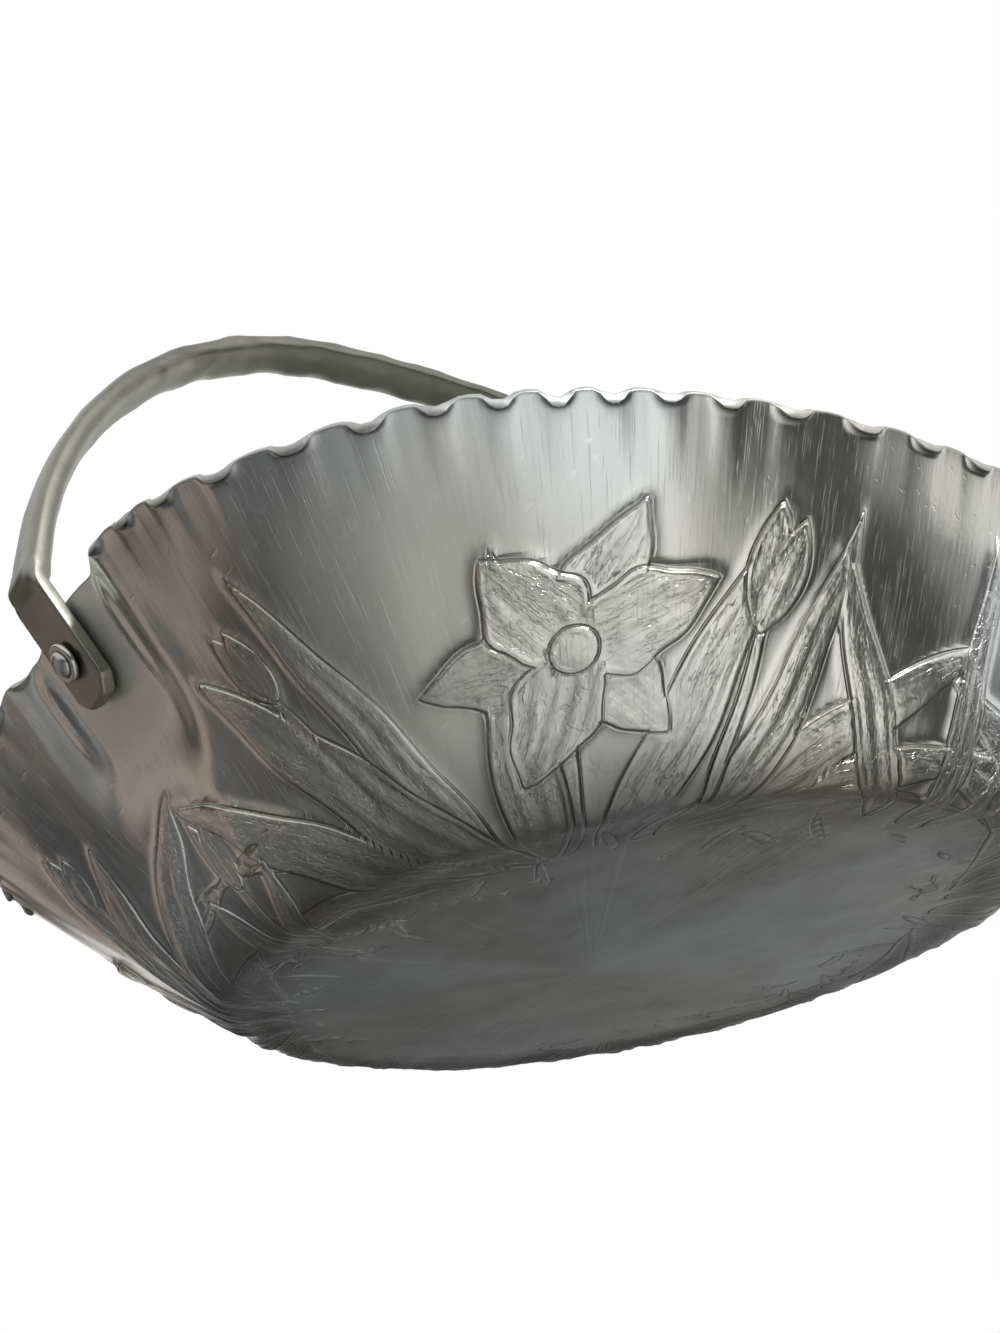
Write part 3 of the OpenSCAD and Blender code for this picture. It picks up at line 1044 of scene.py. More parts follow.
@dataclass
class SkinPlaces:
    """Places on one skin of the sheet: where they lie, how relief moves them and how they are marked.

    Lengths are in millimetres. Relief stops short of the rim and the lug panels, and reaches a little way
    onto the base. A panel is folded along both sides and scuffed in the middle, and the wall beside each
    panel carries a painted dark reflection.
    """

    form: DishForm
    relief: Relief
    angle: Array
    t: Array
    depth: Array
    panel_margin: float = 4.0
    rim_margin: float = 7.0
    rim_fade: float = 4.0
    base_reach: float = 14.0
    base_fade: float = 8.0
    base_share: float = 0.3
    bend_fade: float = 5.0
    fold_y: float = 15.0
    fold_w: float = 1.7
    fold_h: float = 0.8
    fold_l: float = 19.0
    sag_mm: float = 0.25
    dimple_mm: float = 0.16
    dimple_span: float = 200.0
    flat_z: float = 0.5
    foot_fade: float = 6.0
    inner_patina: float = 0.45
    # Painted shade towards the crease at the foot reaches this far up the wall and onto the base.
    low_fade: float = 9.0
    low_reach: float = 13.0
    # Painted shade under the crimps reaches this far below the rim.
    dark_rim: float = 5.5
    # Place across, width and start out from the middle of the painted dark reflection beside the lug
    # panels.
    reflection_y: float = 36.0
    reflection_w: float = 15.0
    reflection_x: float = 40.0
    scuff_half: float = 5.0
    scuff_fade: float = 10.0
    scuff_l: float = 25.0
    scuff_x: float = 60.0
    lip_from: float = 0.992

    def __post_init__(self) -> None:
        """Works out where the places lie and how much relief they keep."""
        form, angle, t = self.form, self.angle, self.t
        r, self.z = form.wall(angle, t)
        self.x, self.y = r * np.cos(angle), r * np.sin(angle)
        self.up = np.where(t > 0.0, t * form.slant(angle), t * form.flat_r(angle))
        self.below = form.slant(angle) - self.up
        self.outer = self.depth < form.sheet_t / 2
        self.layers = self.relief.sample(angle, r, self.up)
        self.free = 1.0 - form.panel_share(self.y, self.z + self.panel_margin)
        reach = self.up + np.where(self.outer, self.base_reach, 0.0)
        self.keep = self.free * smooth((self.below - self.rim_margin) / self.rim_fade)
        self.keep = self.keep * smooth(1.0 + reach / self.base_fade)

    def raised(self) -> Array:
        """Way out of the plain wall: relief, the folds beside the panels and unevenness."""
        top = self.z - self.form.panel_top
        fold = bell(np.abs(self.y) - self.fold_y, self.fold_w) * smooth((top + self.fold_l) / 8.0)
        fold = fold * (self.t > 0.3)
        lift = self.layers.height * self.keep + self.fold_h * fold * (1.0 - smooth((self.t - 0.9) / 0.1))
        return lift + self.form.unevenness(self.angle, self.t) * self.free

    def sunk(self) -> Array:
        """Way out of the flat base, always inwards: reversed relief, sag and dimples."""
        x, y = TAU * self.x / self.dimple_span, TAU * self.y / self.dimple_span
        dimples = waves(x + 0.4 * y, (5, 7, 11), 33) * waves(y - 0.3 * x, (4, 6, 9), 34)
        sag = self.sag_mm * smooth(waves(self.angle, (2, 3, 5), 31) * -self.t)
        sunk = -self.base_share * self.layers.height * self.keep - sag
        sunk = sunk - self.dimple_mm * np.clip(1.0 + dimples, 0.0, 2.5)
        return sunk * smooth(-self.up / 4.0) * smooth((1.0 + self.t) / 0.3)

    def shaped(self) -> Array:
        """Finished places, one row each, none of them under the table."""
        out = np.where(self.t > 0.0, self.raised() * smooth(self.up / self.bend_fade), self.sunk())
        places = self.form.point(self.angle, self.t, self.depth - out)
        places[:, 2] = np.maximum(places[:, 2], 0.0)
        return places

    def marks(self) -> dict[str, Array]:
        """Values that the finish reads, by the name of their attribute."""
        form, t, z = self.form, self.t, self.z
        far_x, far_y = np.abs(self.x), np.abs(self.y)
        # Painted shade, darker towards the crease at the foot on the wall and on the base.
        low_wall = 1.0 - smooth((z - self.flat_z) / self.low_fade)
        low = np.where(t > 0.0, low_wall, smooth(1.0 + self.up / self.low_reach))
        patina = np.where(self.outer, 1.0, self.inner_patina)
        # Painted shade under the crimps: the curl of the sheet, and a fainter band under every dip.
        curl = form.crimp(self.angle, t)[0] / form.crimp_turn
        curl = np.maximum(curl, 0.5 * form.dip(self.angle)[0] * smooth(1.0 - self.below / self.dark_rim))
        # Painted dark reflection: a band on the wall beside each lug panel.
        reflection_band = bell(far_y - self.reflection_y, self.reflection_w) * smooth((far_x - self.reflection_x) / 20.0)
        scuff = 1.0 - smooth((far_y - self.scuff_half) / self.scuff_fade)
        scuff = scuff * smooth((z - form.panel_top + self.scuff_l) / 16.0)
        found = {
            "motif": self.layers.motif * self.keep,
            "along": self.layers.along,
            "side": self.layers.side,
            "foot": patina * (1.0 - smooth((z - self.flat_z) / self.foot_fade)),
            "low": low * self.free,
            "curl": curl * (1.0 - form.panel_share(self.y, z)) * self.outer,
            "tarnish": reflection_band * (t > -0.3) * smooth((1.0 - t) / 0.06),
            "scuff": scuff * (far_x > self.scuff_x),
            "lip": smooth((t - self.lip_from) / 0.006),
        }
        for layer in range(LINE_LAYERS):
            found[f"line{layer}"] = self.layers.lines[:, layer]
            found[f"shown{layer}"] = self.layers.shown[:, layer] * self.keep
        return found


@dataclass(frozen=True)
class RowCounts:
    """How many rows a skin has: plain base, base's edge, wall, crimps and the turn over the rim."""

    base: int
    bend: int
    wall: int
    flute: int
    lip: int


@dataclass
class DishShell:
    """The pressed sheet: outer skin, inner skin and rounded rim."""

    form: DishForm = field(default_factory=DishForm)
    relief: Relief = field(default_factory=Relief)
    columns: int = 800
    inner_columns: int = 440
    outer_rows: RowCounts = RowCounts(6, 12, 56, 15, 4)
    inner_rows: RowCounts = RowCounts(5, 6, 20, 10, 3)
    bend_from: float = -0.26
    flute_from: float = 0.93
    near_from: float = math.radians(165.0)
    near_to: float = math.radians(305.0)
    near_share: float = 0.53
    edge_round: float = 0.2
    edge_turn: float = math.radians(82.0)
    wall_l: float = 55.0

    def column_angle(self, s: Array) -> Array:
        """Angle of a column, closer together on the finely worked side."""
        near = self.near_to - self.near_from
        fine = self.near_from + near * s / self.near_share
        coarse = self.near_to + (TAU - near) * (s - self.near_share) / (1.0 - self.near_share)
        return np.where(s < self.near_share, fine, coarse)

    def rows(self, counts: RowCounts, outer: bool) -> tuple[Array, Array]:
        """Places and depths of a skin's rows from the middle of the base to the rim.

        Args:
            counts: Rows on each stretch.
            outer: True for the outer skin.

        Returns:
            Wall places t and depths from the outside.
        """
        lip = self.edge_round / self.wall_l
        stops = (-1.0, self.bend_from, 0.0, self.flute_from, 1.0 - lip)
        parts = zip(stops, stops[1:], (counts.base, counts.bend, counts.wall, counts.flute))
        t = np.concatenate([np.linspace(low, high, count, endpoint=False) for low, high, count in parts])
        depth = np.full(len(t), 0.0 if outer else self.form.sheet_t)
        swing = np.linspace(0.0, self.edge_turn, counts.lip)
        edge = self.edge_round * (1.0 - np.cos(swing))
        t = np.concatenate([t, 1.0 - lip + lip * np.sin(swing)])
        return t, np.concatenate([depth, edge if outer else self.form.sheet_t - edge])

    def skin(self, bm: bmesh.types.BMesh, columns: int, t_rows: Array, depth_rows: Array) -> None:
        """Adds one skin as a grid that is bent into the dish.

        Args:
            bm: The mesh to add to.
            columns: Faces round the skin.
            t_rows: Wall place of each row.
            depth_rows: Depth of each row.
        """
        last = len(t_rows) - 1
        verts = bmesh.ops.create_grid(bm, x_segments=columns, y_segments=last, size=0.5)["verts"]
        grid = coordinates(verts)
        row = np.rint((grid[:, 1] + 0.5) * last).astype(int)
        angle = self.column_angle(grid[:, 0] + 0.5)
        places = SkinPlaces(self.form, self.relief, angle, t_rows[row], depth_rows[row])
        move_to(verts, places.shaped() * MM)
        for name, values in places.marks().items():
            set_layer(bm, name, verts, values)

    def build(self) -> bmesh.types.BMesh:
        """Makes the closed sheet."""
        names = [f"{kind}{layer}" for kind in ("line", "shown") for layer in range(LINE_LAYERS)]
        bm = new_shape("motif", "along", "side", "foot", "low", "curl", "tarnish", "scuff", "lip", *names)
        self.skin(bm, self.columns, *self.rows(self.outer_rows, True))
        self.skin(bm, self.inner_columns, *self.rows(self.inner_rows, False))
        bmesh.ops.remove_doubles(bm, verts=bm.verts, dist=WELD)
        rims = [edge for edge in bm.edges if edge.is_boundary]
        bmesh.ops.bridge_loops(bm, edges=rims)
        bmesh.ops.recalc_face_normals(bm, faces=bm.faces)
        return bm

    def dress(self) -> bpy.types.Object:
        """Builds the piece with its finish."""
        metal = DishMetal().material()
        return finish_piece(self.build(), "dish_sheet", metal, Body.BASIN, ["dish"])


# The bail


@dataclass
class BailHandle:
    """The arched bar with its flat lugs, in millimetres.

    Its centre line has points at the spacing, each softened over so many points to either side.
    """

    form: DishForm = field(default_factory=DishForm)
    stand: float = 2.1
    crown_w: float = 9.8
    bar_t: float = 4.6
    crown_r: float = 235.0
    haunch_r: float = 66.0
    leg_l: float = 3.8
    leg_taper: float = 5.0
    lug_w: float = 11.0
    lug_t: float = 2.4
    lug_tail: float = 8.1
    lug_clip: float = 2.6
    lug_gap: float = 0.6
    rivet_drop: float = 7.7
    bore_r: float = 2.2
    bore_near: float = 8.0
    around: int = 60
    spacing: float = 0.1
    soften: int = 22
    tip_run: tuple[float, ...] = (0.0, 0.0, 0.12, 0.35, 0.7)
    tip_share: tuple[float, ...] = (0.0, 0.55, 0.8, 0.93, 0.985)
    lug_from: float = 1.1
    lug_to: float = 32.0
    lug_step: float = 0.62
    bar_rows: int = 330
    crown_thin: float = 0.11
    dent_seed: int = 8
    dent_turn: float = 0.85
    dent_from: float = 58.0
    dent_fade: float = 26.0

    @property
    def half(self) -> float:
        """Distance of a leg's middle from the axis."""
        return self.form.rim_half_x + self.stand

    def half_line(self) -> Array:
        """Centre line from the crown to the right lug's end, closely spaced points in the XZ plane."""
        out, down = self.form.out_dir(), self.form.down_dir()
        mid = self.lug_gap + self.lug_t / 2
        shoulder_s = (self.form.panel_x + mid * out.x - self.half) / -down.x
        shoulder_z = self.form.panel_top + mid * out.z + shoulder_s * down.z
        haunch_x = self.half - self.haunch_r
        gap = self.crown_r - self.haunch_r
        fall = math.sqrt(gap * gap - haunch_x * haunch_x)
        haunch_z = shoulder_z + self.leg_taper + self.leg_l
        crown_z = haunch_z - fall
        turn = math.asin(haunch_x / gap)
        a = np.linspace(0.0, turn, 400)
        crown = np.stack([self.crown_r * np.sin(a), crown_z + self.crown_r * np.cos(a)], 1)
        b = np.linspace(math.pi / 2 - turn, 0.0, 600)
        haunch = np.stack([haunch_x + self.haunch_r * np.cos(b), haunch_z + self.haunch_r * np.sin(b)], 1)
        end = self.form.panel_point(self.rivet_drop + self.lug_tail, mid)
        leg = np.linspace((self.half, haunch_z), (self.half, shoulder_z), 200)
        lug = np.linspace((self.half, shoulder_z), (end.x, end.z), 300)
        return np.concatenate([crown, haunch[1:], leg[1:], lug[1:]])

    def line(self) -> tuple[Array, Array]:
        """Whole centre line, left lug's end to right lug's end, and its running length."""
        right = self.half_line()
        left = right[::-1] * np.array([-1.0, 1.0])
        points = np.concatenate([left[:-1], right])
        run = np.concatenate([[0.0], np.cumsum(np.linalg.norm(np.diff(points, axis=0), axis=1))])
        even = np.arange(0.0, run[-1], self.spacing)
        even = np.append(even, run[-1])
        points = np.stack([np.interp(even, run, points[:, k]) for k in (0, 1)], 1)
        kernel = np.hanning(2 * self.soften + 1)
        kernel /= kernel.sum()
        before = np.arange(-self.soften, 0)[:, None] * (points[1] - points[0])
        after = np.arange(1, self.soften + 1)[:, None] * (points[-1] - points[-2])
        padded = np.concatenate([points[0] + before, points, points[-1] + after])
        soft = np.stack([np.convolve(padded[:, k], kernel, mode="valid") for k in (0, 1)], 1)
        return soft, even

    def dents(self, s: Array, swing: Array, length: float) -> Array:
        """Depth of the hammer marks along all four edges of the bar.

        Args:
            s: Ways along the bar.
            swing: Angles round it.
            length: Length of the bar.

        Returns:
            The depth at each place.
        """
        rng = np.random.default_rng(self.dent_seed)
        turn = self.dent_turn
        depth = np.zeros_like(s)
        for corner, start in ((turn, 34.0), (math.pi - turn, 41.0), (-turn, 38.0), (math.pi + turn, 46.0)):
            place = start
            while place < length - 30.0:
                size = rng.uniform(3.6, 5.6)
                gap = (swing - corner - rng.uniform(-0.15, 0.15) + math.pi) % TAU - math.pi
                mark = np.clip(1.0 - ((s - place) / size) ** 2, 0.0, 1.0)
                mark = mark * np.clip(np.cos(gap), 0.0, 1.0) ** 5
                depth = np.maximum(depth, rng.uniform(0.30, 0.62) * mark)
                place += rng.uniform(10.0, 17.0)
        return depth

    def stations(self, length: float) -> tuple[Array, Array]:
        """Rows along the bar, close together on the lugs and drawn in at both tips.

        Args:
            length: Length of the bar.

        Returns:
            Way along the bar and share of the full section for each row.
        """
        half = np.concatenate([self.tip_run, np.arange(self.lug_from, self.lug_to, self.lug_step)])
        bar = np.linspace(self.lug_to, length - self.lug_to, self.bar_rows)[1:-1]
        rows = np.concatenate([half, bar, length - half[::-1]])
        tips = len(self.tip_share)
        share = np.ones(len(rows))
        share[:tips] = self.tip_share
        share[-tips:] = self.tip_share[::-1]
        return rows, share

    def section(self, s: Array, swing: Array, length: float) -> tuple[Array, Array, Array]:
        """Outline of the bar round its centre line, flat in the lugs and rounded above their spooned ends.

        Args:
            s: Ways along the bar.
            swing: Angles round it.
            length: Length of the bar.

        Returns:
            Ways across and through the bar, and the wear of its edges.
        """
        from_end = np.minimum(s, length - s)
        cs, sn = np.cos(swing), np.sin(swing)
        lug_l = self.rivet_drop + self.lug_tail + 5.0
        leg = smooth((from_end - (lug_l + 1.5 - 3.2 * (1.0 - sn**2))) / 2.6)
        crown = smooth((np.abs(s - length / 2) - 30.0) / 40.0)
        bar_t = self.bar_t * (1.0 - self.crown_thin + self.crown_thin * crown)
        half_t = (self.lug_t + (bar_t - self.lug_t) * leg) / 2
        half_w = (self.lug_w - (self.lug_w - self.crown_w) * smooth((from_end - 65.0) / 50.0)) / 2
        half_w = half_w - self.lug_clip * np.clip((self.lug_clip - from_end) / self.lug_clip, 0.0, 1.0)
        power = 2.0 / (7.0 - 4.1 * smooth((from_end - lug_l + 3.0) / 8.0))
        across = np.sign(sn) * np.abs(sn) ** power * half_w
        through = np.sign(cs) * np.abs(cs) ** power * half_t
        dent = self.dents(s, swing, length) * smooth((from_end - self.dent_from) / self.dent_fade)
        scale = 1.0 - dent / np.maximum(np.hypot(across, through), 0.5)
        uneven = 1.0 - 0.06 * np.abs(waves(s * TAU / length, (9, 14, 23), 41)) * leg
        worn = np.clip(np.abs(sn * cs) * 2.0, 0.0, 1.0) ** 2
        worn = worn + 0.8 * smooth((dent - 0.15) / 0.2) + 0.8 * (1.0 - leg)
        return across * scale, through * scale * uneven, np.clip(worn, 0.0, 1.0)

    def build(self) -> bmesh.types.BMesh:
        """Makes the closed bar with its bored lugs."""
        points, run = self.line()
        length = float(run[-1])
        rows, share = self.stations(length)
        last = len(rows) - 1
        bm = new_shape("worn")
        verts = bmesh.ops.create_grid(bm, x_segments=self.around, y_segments=last, size=0.5)["verts"]
        grid = coordinates(verts)
        row = np.rint((grid[:, 1] + 0.5) * last).astype(int)
        s = rows[row]
        across, through, worn = self.section(s, (grid[:, 0] + 0.5) * TAU, length)
        across, through = across * share[row], through * share[row]

        def at(ways: Array) -> Array:
            """Places on the centre line."""
            return np.stack([np.interp(ways, run, points[:, k]) for k in (0, 1)], 1)

        centre = at(s)
        step = at(s + 2.0 * self.spacing) - at(s - 2.0 * self.spacing)
        step /= np.linalg.norm(step, axis=1)[:, None]
        x, z = centre[:, 0] - step[:, 1] * through, centre[:, 1] + step[:, 0] * through
        move_to(verts, np.stack([x, across, z], 1) * MM)
        set_layer(bm, "worn", verts, worn)
        bmesh.ops.remove_doubles(bm, verts=bm.verts, dist=WELD)
        for side in Side:
            self.bore(bm, side)
        bmesh.ops.recalc_face_normals(bm, faces=bm.faces)
        return bm

    def bore(self, bm: bmesh.types.BMesh, side: Side) -> None:
        """Opens the rivet's hole through one lug."""
        eye = self.form.panel_point(self.rivet_drop, self.lug_gap + self.lug_t / 2)
        axis = self.form.out_dir()
        eye.x *= side.value
        axis.x *= side.value
        eye *= MM

        def radius(place: Vector) -> float:
            """Distance from the hole's axis, or a metre for a place away from this lug."""
            off = place - eye
            return (off - axis * off.dot(axis)).length if off.length < self.bore_near * MM else 1.0

        gone = [face for face in bm.faces if radius(face.calc_center_median()) < self.bore_r * MM]
        bmesh.ops.delete(bm, geom=gone, context="FACES")
        lips = [edge for edge in bm.edges if edge.is_boundary]
        for vert in {vert for edge in lips for vert in edge.verts}:
            off = vert.co - eye
            flat = off - axis * off.dot(axis)
            vert.co += flat * (self.bore_r * MM / flat.length - 1.0)
        bmesh.ops.bridge_loops(bm, edges=lips)

    def dress(self) -> bpy.types.Object:
        """Builds the piece with its finish."""
        metal = BarMetal("bail_aluminium", (0.31, 0.306, 0.262), (0.15, 0.148, 0.122)).material()
        return finish_piece(self.build(), "bail_bar", metal, Body.BAIL, ["bail_handle"])


# The rivets


@dataclass
class RivetJoint:
    """One rivet and its burr, in millimetres."""

    side: Side
    form: DishForm = field(default_factory=DishForm)
    drop: float = 7.7
    shank_r: float = 1.6
    head_r: float = 3.2
    head_h: float = 1.8
    peen_r: float = 2.2
    peen_h: float = 0.9
    burr_r: float = 3.3
    burr_t: float = 0.9
    burr_z: float = 3.4
    burr_gap: float = 0.05
    burr_soft: float = 0.4
    rivet_dent: float = 0.18
    rivet_seed: int = 51
    burr_dent: float = 0.12
    burr_seed: int = 61
    steps: int = 56

    def place(self) -> Matrix:
        """Matrix from the rivet's own frame, where Z points out of the wall."""
        at = self.form.panel_point(self.drop, 0.0)
        out, down = self.form.out_dir(), self.form.down_dir()
        matrix = Matrix((
            (down.x, 0.0, out.x, at.x),
            (0.0, 1.0, 0.0, 0.0),
            (down.z, 0.0, out.z, at.z),
            (0.0, 0.0, 0.0, 1.0),
        ))
        mirror = Matrix.Diagonal((float(self.side.value), 1.0, 1.0, 1.0))
        return mirror @ matrix

    def turned(self, profile: Sequence[tuple[float, float]], close: bool) -> bmesh.types.BMesh:
        """Spins a profile of radius and height into a body.

        Args:
            profile: Points from the bottom to the top.
            close: True where the profile is a loop.

        Returns:
            The turned shape in the rivet's frame.
        """
        bm = new_shape("worn")
        verts = [bm.verts.new((r, 0.0, z)) for r, z in profile]
        edges = [bm.edges.new(pair) for pair in zip(verts, verts[1:])]
        if close:
            edges.append(bm.edges.new((verts[-1], verts[0])))
        bmesh.ops.spin(
            bm,
            geom=verts + edges,
            cent=(0, 0, 0),
            axis=(0, 0, 1),
            angle=TAU,
            steps=self.steps,
            use_merge=True,
        )
        bmesh.ops.remove_doubles(bm, verts=bm.verts, dist=1e-4)
        return bm

    def settle(self, bm: bmesh.types.BMesh, dent: float, seed: int) -> None:
        """Roughens a turned shape by hand work and puts it in its place."""
        places = coordinates(bm.verts)
        angle = np.arctan2(places[:, 1], places[:, 0])
        rho = np.hypot(places[:, 0], places[:, 1])
        inwards = dent * (0.5 + 0.5 * waves(angle, (2, 3, 5), seed)) * smooth((rho - 1.0) / 1.2)
        places[:, :2] *= (1.0 - np.clip(inwards, 0.0, 0.3) / np.maximum(rho, 0.5))[:, None]
        move_to(bm.verts, places)
        set_layer(bm, "worn", bm.verts, smooth((rho - 0.8 * rho.max()) / (0.2 * rho.max())))
        bmesh.ops.transform(bm, matrix=Matrix.Scale(MM, 4) @ self.place(), verts=bm.verts)
        bmesh.ops.recalc_face_normals(bm, faces=bm.faces)

    @staticmethod
    def dome(radius: float, height: float, base: float, up: float) -> list[tuple[float, float]]:
        """Profile of a low dome from its edge to its top, where up is -1 for one that hangs."""
        swing = np.linspace(0.0, math.pi / 2, 9)
        return [(radius * math.cos(a), base + up * height * math.sin(a)) for a in swing]

    def build_rivet(self) -> bmesh.types.BMesh:
        """Makes the rivet: head inside, shank, peened end."""
        sheet = self.form.sheet_t
        top = self.burr_z + self.burr_t
        head = self.dome(self.head_r, self.head_h, -sheet, -1.0)[::-1]
        peen = self.dome(self.peen_r, self.peen_h, top, 1.0)
        bm = self.turned([*head, (self.shank_r, -sheet), (self.shank_r, top), *peen], False)
        self.settle(bm, self.rivet_dent, self.rivet_seed + self.side.value)
        return bm

    def build_burr(self) -> bmesh.types.BMesh:
        """Makes the ring under the peened end, with soft edges."""
        inner, soft = self.shank_r + self.burr_gap, self.burr_soft
        low, high = self.burr_z, self.burr_z + self.burr_t
        arc = np.linspace(-math.pi / 2, 0.0, 5)
        lower = [(self.burr_r - soft + soft * math.cos(a), low + soft + soft * math.sin(a)) for a in arc]
        upper = [(r, low + high - z) for r, z in reversed(lower)]
        bm = self.turned([(inner, low), *lower, *upper, (inner, high)], True)
        self.settle(bm, self.burr_dent, self.burr_seed + self.side.value)
        return bm

    def dress(self) -> list[bpy.types.Object]:
        """Builds the rivet and the burr with their finish."""
        name = self.side.name.lower()
        bright, dull = (0.60, 0.59, 0.57), (0.34, 0.335, 0.32)
        metal = BarMetal("rivet_aluminium_" + name, bright, dull, gloss=0.3, pit_mm=0.03).material()
        shapes = (("rivet_", "_body", self.build_rivet()), ("burr_", "_ring", self.build_burr()))
        return [
            finish_piece(shape, kind + name + ending, metal, Body.BASIN, [kind + name])
            for kind, ending, shape in shapes
        ]


# The studio


@dataclass(frozen=True)
class Paint:
    """Matt paint of two colours that cloud into each other, with a glow that fades upwards."""

    first: Colour
    second: Colour
    glow: float = 0.0
    glow_top: float = 0.18
    rough: float = 0.9
    cloud: Noise = Noise(2.0, 3.0)

    def material(self, name: str) -> bpy.types.Material:
        """Builds the material."""
        made, g = new_material(name)
        paint = g.blend(g.grain(g.place(), self.cloud), self.first, self.second)
        height = g.node("ShaderNodeSeparateXYZ", {}, {0: g.place()}, 2)
        light = g.blend(height.eased(self.glow_top, 0.0), (0.0, 0.0, 0.0), paint)
        looks = {"Base Color": paint, "Roughness": self.rough}
        g.surface({**looks, "Emission Color": light, "Emission Strength": self.glow})
        return made


@dataclass(frozen=True)
class Pool:
    """A soft spot lamp: its place, where it points on the table, its cone in degrees and its watts."""

    name: str
    place: Triple
    target: tuple[float, float]
    cone: float
    power: float


@dataclass
class Studio:
    """Pale floor well under the dish, soft lamps, white surroundings and the camera."""

    lens: float = 31.944
    eye: Triple = (-0.13210, -0.16188, -0.05767)
    right: Triple = (0.8315, -0.5495, -0.0815)
    ahead: Triple = (0.5101, 0.6971, 0.5038)
    floor_z: float = -0.30
    floor_half: float = 16.0
    floor_paint: Paint = Paint((0.80, 0.80, 0.79), (0.84, 0.84, 0.83))
    table_half: float = 4.0
    table_drop: float = 0.001
    table_paint: Paint = Paint((0.70, 0.70, 0.70), (0.76, 0.76, 0.76))
    flag_paint: Paint = Paint((0.56, 0.46, 0.41), (0.60, 0.50, 0.45), 0.75)
    flag_size: Triple = (2.2, 1.1, 1.0)
    flag_turn: float = math.radians(28.0)
    flag_place: Triple = (-0.80, 1.50, 0.26)
    sun_power: float = 2.9
    sun_angle: float = math.radians(70.0)
    sun_turn: Triple = (math.radians(18.0), math.radians(-12.0), 0.0)
    lamp_r: float = 0.06
    pools: tuple[Pool, ...] = (
        Pool("key", (-0.12, -0.78, 0.30), (-0.05, -0.19), 78.0, 34.0),
        Pool("core", (-0.12, -0.78, 0.30), (-0.03, -0.21), 34.0, 15.0),
        Pool("far", (1.50, -0.25, 0.60), (1.22, 0.46), 62.0, 80.0),
        Pool("side", (1.70, -2.0, 0.40), (1.55, -1.45), 60.0, 24.0),
        Pool("left", (-1.20, 0.55, 0.35), (-0.95, 0.60), 56.0, 15.0),
    )
    fill: Colour = (0.9, 0.95, 1.0)
    fill_power: float = 0.055

    def camera(self) -> None:
        """Sets the camera at the photograph's angle."""
        ahead = Vector(self.ahead).normalized()
        right = Vector(self.right)
        right = (right - ahead * right.dot(ahead)).normalized()
        up = right.cross(ahead)
        data = bpy.data.cameras.new("camera")
        data.lens = self.lens
        data.sensor_width = 36.0
        data.clip_start = 0.005
        data.clip_end = 50.0
        made = bpy.data.objects.new("camera", data)
        made.matrix_world = Matrix((
            (right.x, up.x, -ahead.x, self.eye[0]),
            (right.y, up.y, -ahead.y, self.eye[1]),
            (right.z, up.z, -ahead.z, self.eye[2]),
            (0.0, 0.0, 0.0, 1.0),
        ))
        add_to_scene(made)
        bpy.context.scene.camera = made

    @staticmethod
    def plane(half: float, z: float) -> bmesh.types.BMesh:
        """A wide level sheet at a height."""
        bm = bmesh.new()
        bmesh.ops.create_grid(bm, x_segments=1, y_segments=1, size=half)
        bmesh.ops.translate(bm, verts=bm.verts, vec=(0.0, 0.0, z))
        return bm

    def floor(self) -> bpy.types.Object:
        """Lays the pale floor, and close under it the table top that the metal mirrors.

        Returns:
            The pale floor.
        """
        pale = self.stand(self.plane(self.floor_half, self.floor_z), "floor", self.floor_paint)
        pale.visible_glossy = False
        pale.visible_diffuse = False
        pale.visible_transmission = False
        pale.visible_shadow = False
        top = self.plane(self.table_half, self.floor_z - self.table_drop)
        table = self.stand(top, "table", self.table_paint)
        table.visible_camera = False
        return pale

    def overhead(self, pale: bpy.types.Object) -> None:
        """Adds the soft light that falls on the pale floor alone."""
        data = bpy.data.lights.new("overhead", "SUN")
        data.energy = self.sun_power
        data.angle = self.sun_angle
        made = bpy.data.objects.new("overhead", data)
        made.rotation_euler = self.sun_turn
        add_to_scene(made)
        made.light_linking.receiver_collection = self.lit_group("floor_lit", pale, "INCLUDE")

    @staticmethod
    def lit_group(name: str, thing: bpy.types.Object, state: str) -> bpy.types.Collection:
        """A light's list of one thing that it lights alone or leaves out."""
        group = bpy.data.collections.new(name)
        group.objects.link(thing)
        group.collection_objects[0].light_linking.link_state = state
        return group

    def lamps(self, pale: bpy.types.Object) -> None:
        """Sets the soft spots, which light everything but the pale floor."""
        spared = self.lit_group("floor_spared", pale, "EXCLUDE")
        for pool in self.pools:
            data = bpy.data.lights.new(pool.name, "SPOT")
            data.energy = pool.power
            data.spot_size = math.radians(pool.cone)
            data.spot_blend = 1.0
            data.shadow_soft_size = self.lamp_r
            made = bpy.data.objects.new(pool.name, data)
            made.location = pool.place
            made.rotation_mode = "QUATERNION"
            way = Vector((*pool.target, self.floor_z)) - Vector(pool.place)
            made.rotation_quaternion = way.to_track_quat("-Z", "Y")
            add_to_scene(made)
            made.light_linking.receiver_collection = spared

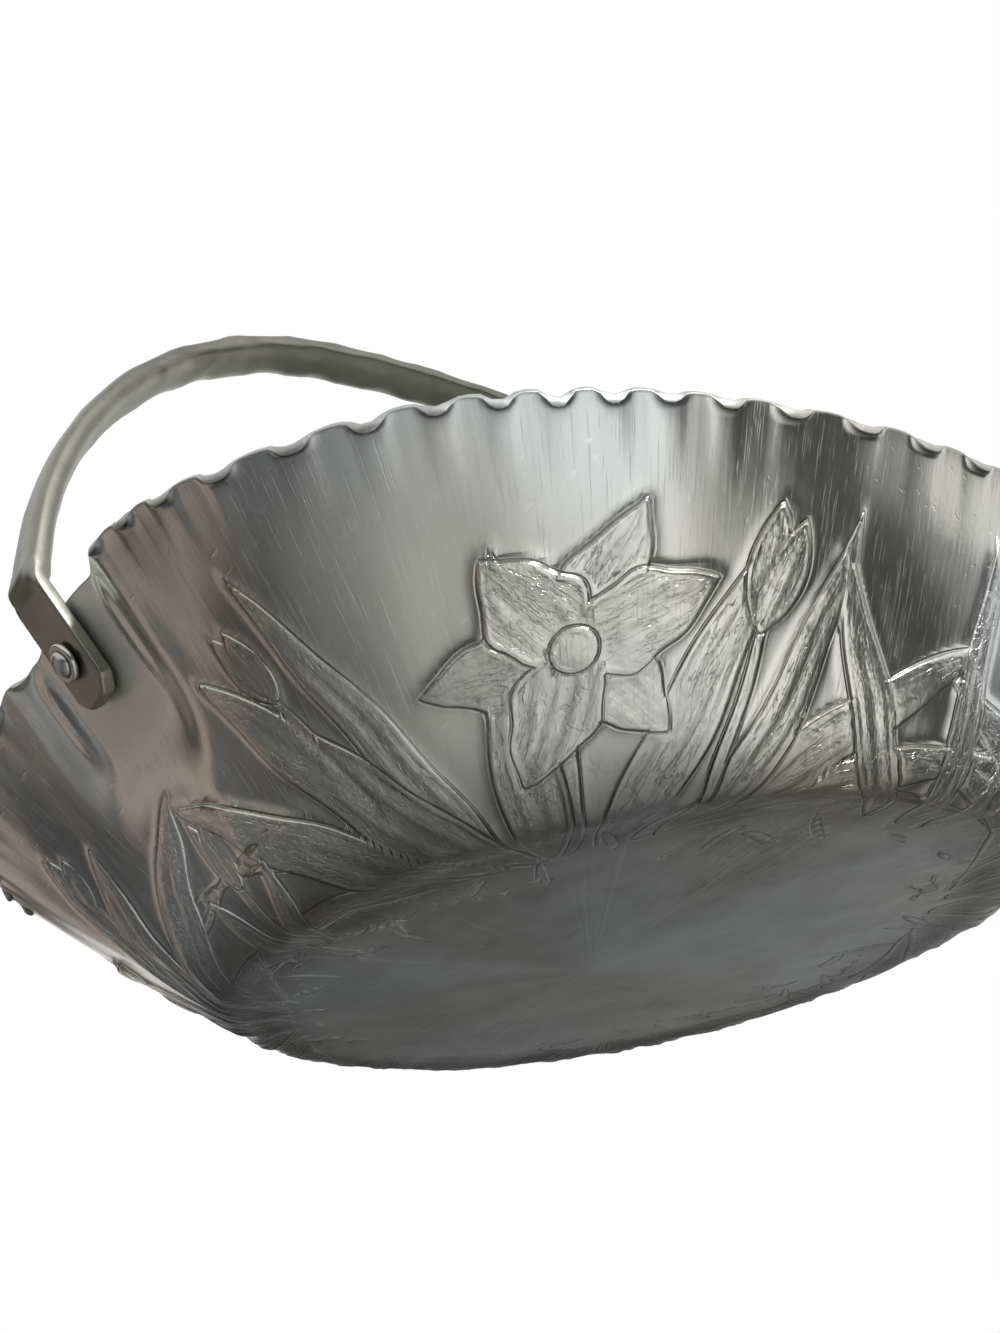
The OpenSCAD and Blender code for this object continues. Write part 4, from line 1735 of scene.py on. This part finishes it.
    def flag(self) -> None:
        """Stands a softly glowing card at the left, which only the metal mirrors."""
        bm = self.plane(0.5, 0.0)
        bmesh.ops.scale(bm, verts=bm.verts, vec=self.flag_size)
        bmesh.ops.rotate(bm, verts=bm.verts, matrix=Matrix.Rotation(math.pi / 2, 3, "X"))
        bmesh.ops.rotate(bm, verts=bm.verts, matrix=Matrix.Rotation(self.flag_turn, 3, "Z"))
        bmesh.ops.translate(bm, verts=bm.verts, vec=self.flag_place)
        card = self.stand(bm, "flag", self.flag_paint)
        card.visible_camera = False
        card.visible_diffuse = False
        card.visible_shadow = False

    @staticmethod
    def stand(bm: bmesh.types.BMesh, name: str, paint: Paint) -> bpy.types.Object:
        """Turns a bmesh into a painted part of the studio.

        Args:
            bm: The shape, which is freed.
            name: Name of the object.
            paint: Its finish.

        Returns:
            The new object.
        """
        mesh = bpy.data.meshes.new(name)
        bm.to_mesh(mesh)
        bm.free()
        mesh.materials.append(paint.material(name + "_paint"))
        made = bpy.data.objects.new(name, mesh)
        add_to_scene(made)
        return made

    def world(self) -> None:
        """White surroundings for the camera and the metal, softer light for the rest."""
        made = bpy.data.worlds.new("surroundings")
        made.use_nodes = True
        bpy.context.scene.world = made
        g = Graph(made.node_tree)
        seen = g.node("ShaderNodeLightPath", {}, {}, "Is Camera Ray")
        gloss = g.node("ShaderNodeLightPath", {}, {}, "Is Glossy Ray")
        through = g.node("ShaderNodeLightPath", {}, {}, "Is Transmission Ray")
        shown = (seen + gloss + through).limited()
        shade = g.node("ShaderNodeBackground", {}, {"Color": self.fill, "Strength": self.fill_power})
        white = g.node("ShaderNodeBackground", {}, {"Color": (1.0, 1.0, 1.0), "Strength": 1.0})
        both = g.node("ShaderNodeMixShader", {}, {0: shown, 1: shade, 2: white})
        g.node("ShaderNodeOutputWorld", {}, {"Surface": both})

    def build(self) -> None:
        """Sets the whole studio."""
        self.camera()
        pale = self.floor()
        self.overhead(pale)
        self.flag()
        self.lamps(pale)
        self.world()
        bpy.context.scene.view_settings.view_transform = "Standard"


def main() -> None:
    """Builds every piece and notes the sizes."""
    logging.basicConfig(level=logging.INFO)
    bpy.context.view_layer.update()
    Studio().build()
    DishShell().dress()
    BailHandle().dress()
    for side in Side:
        RivetJoint(side).dress()


if __name__ == "__main__":
    main()
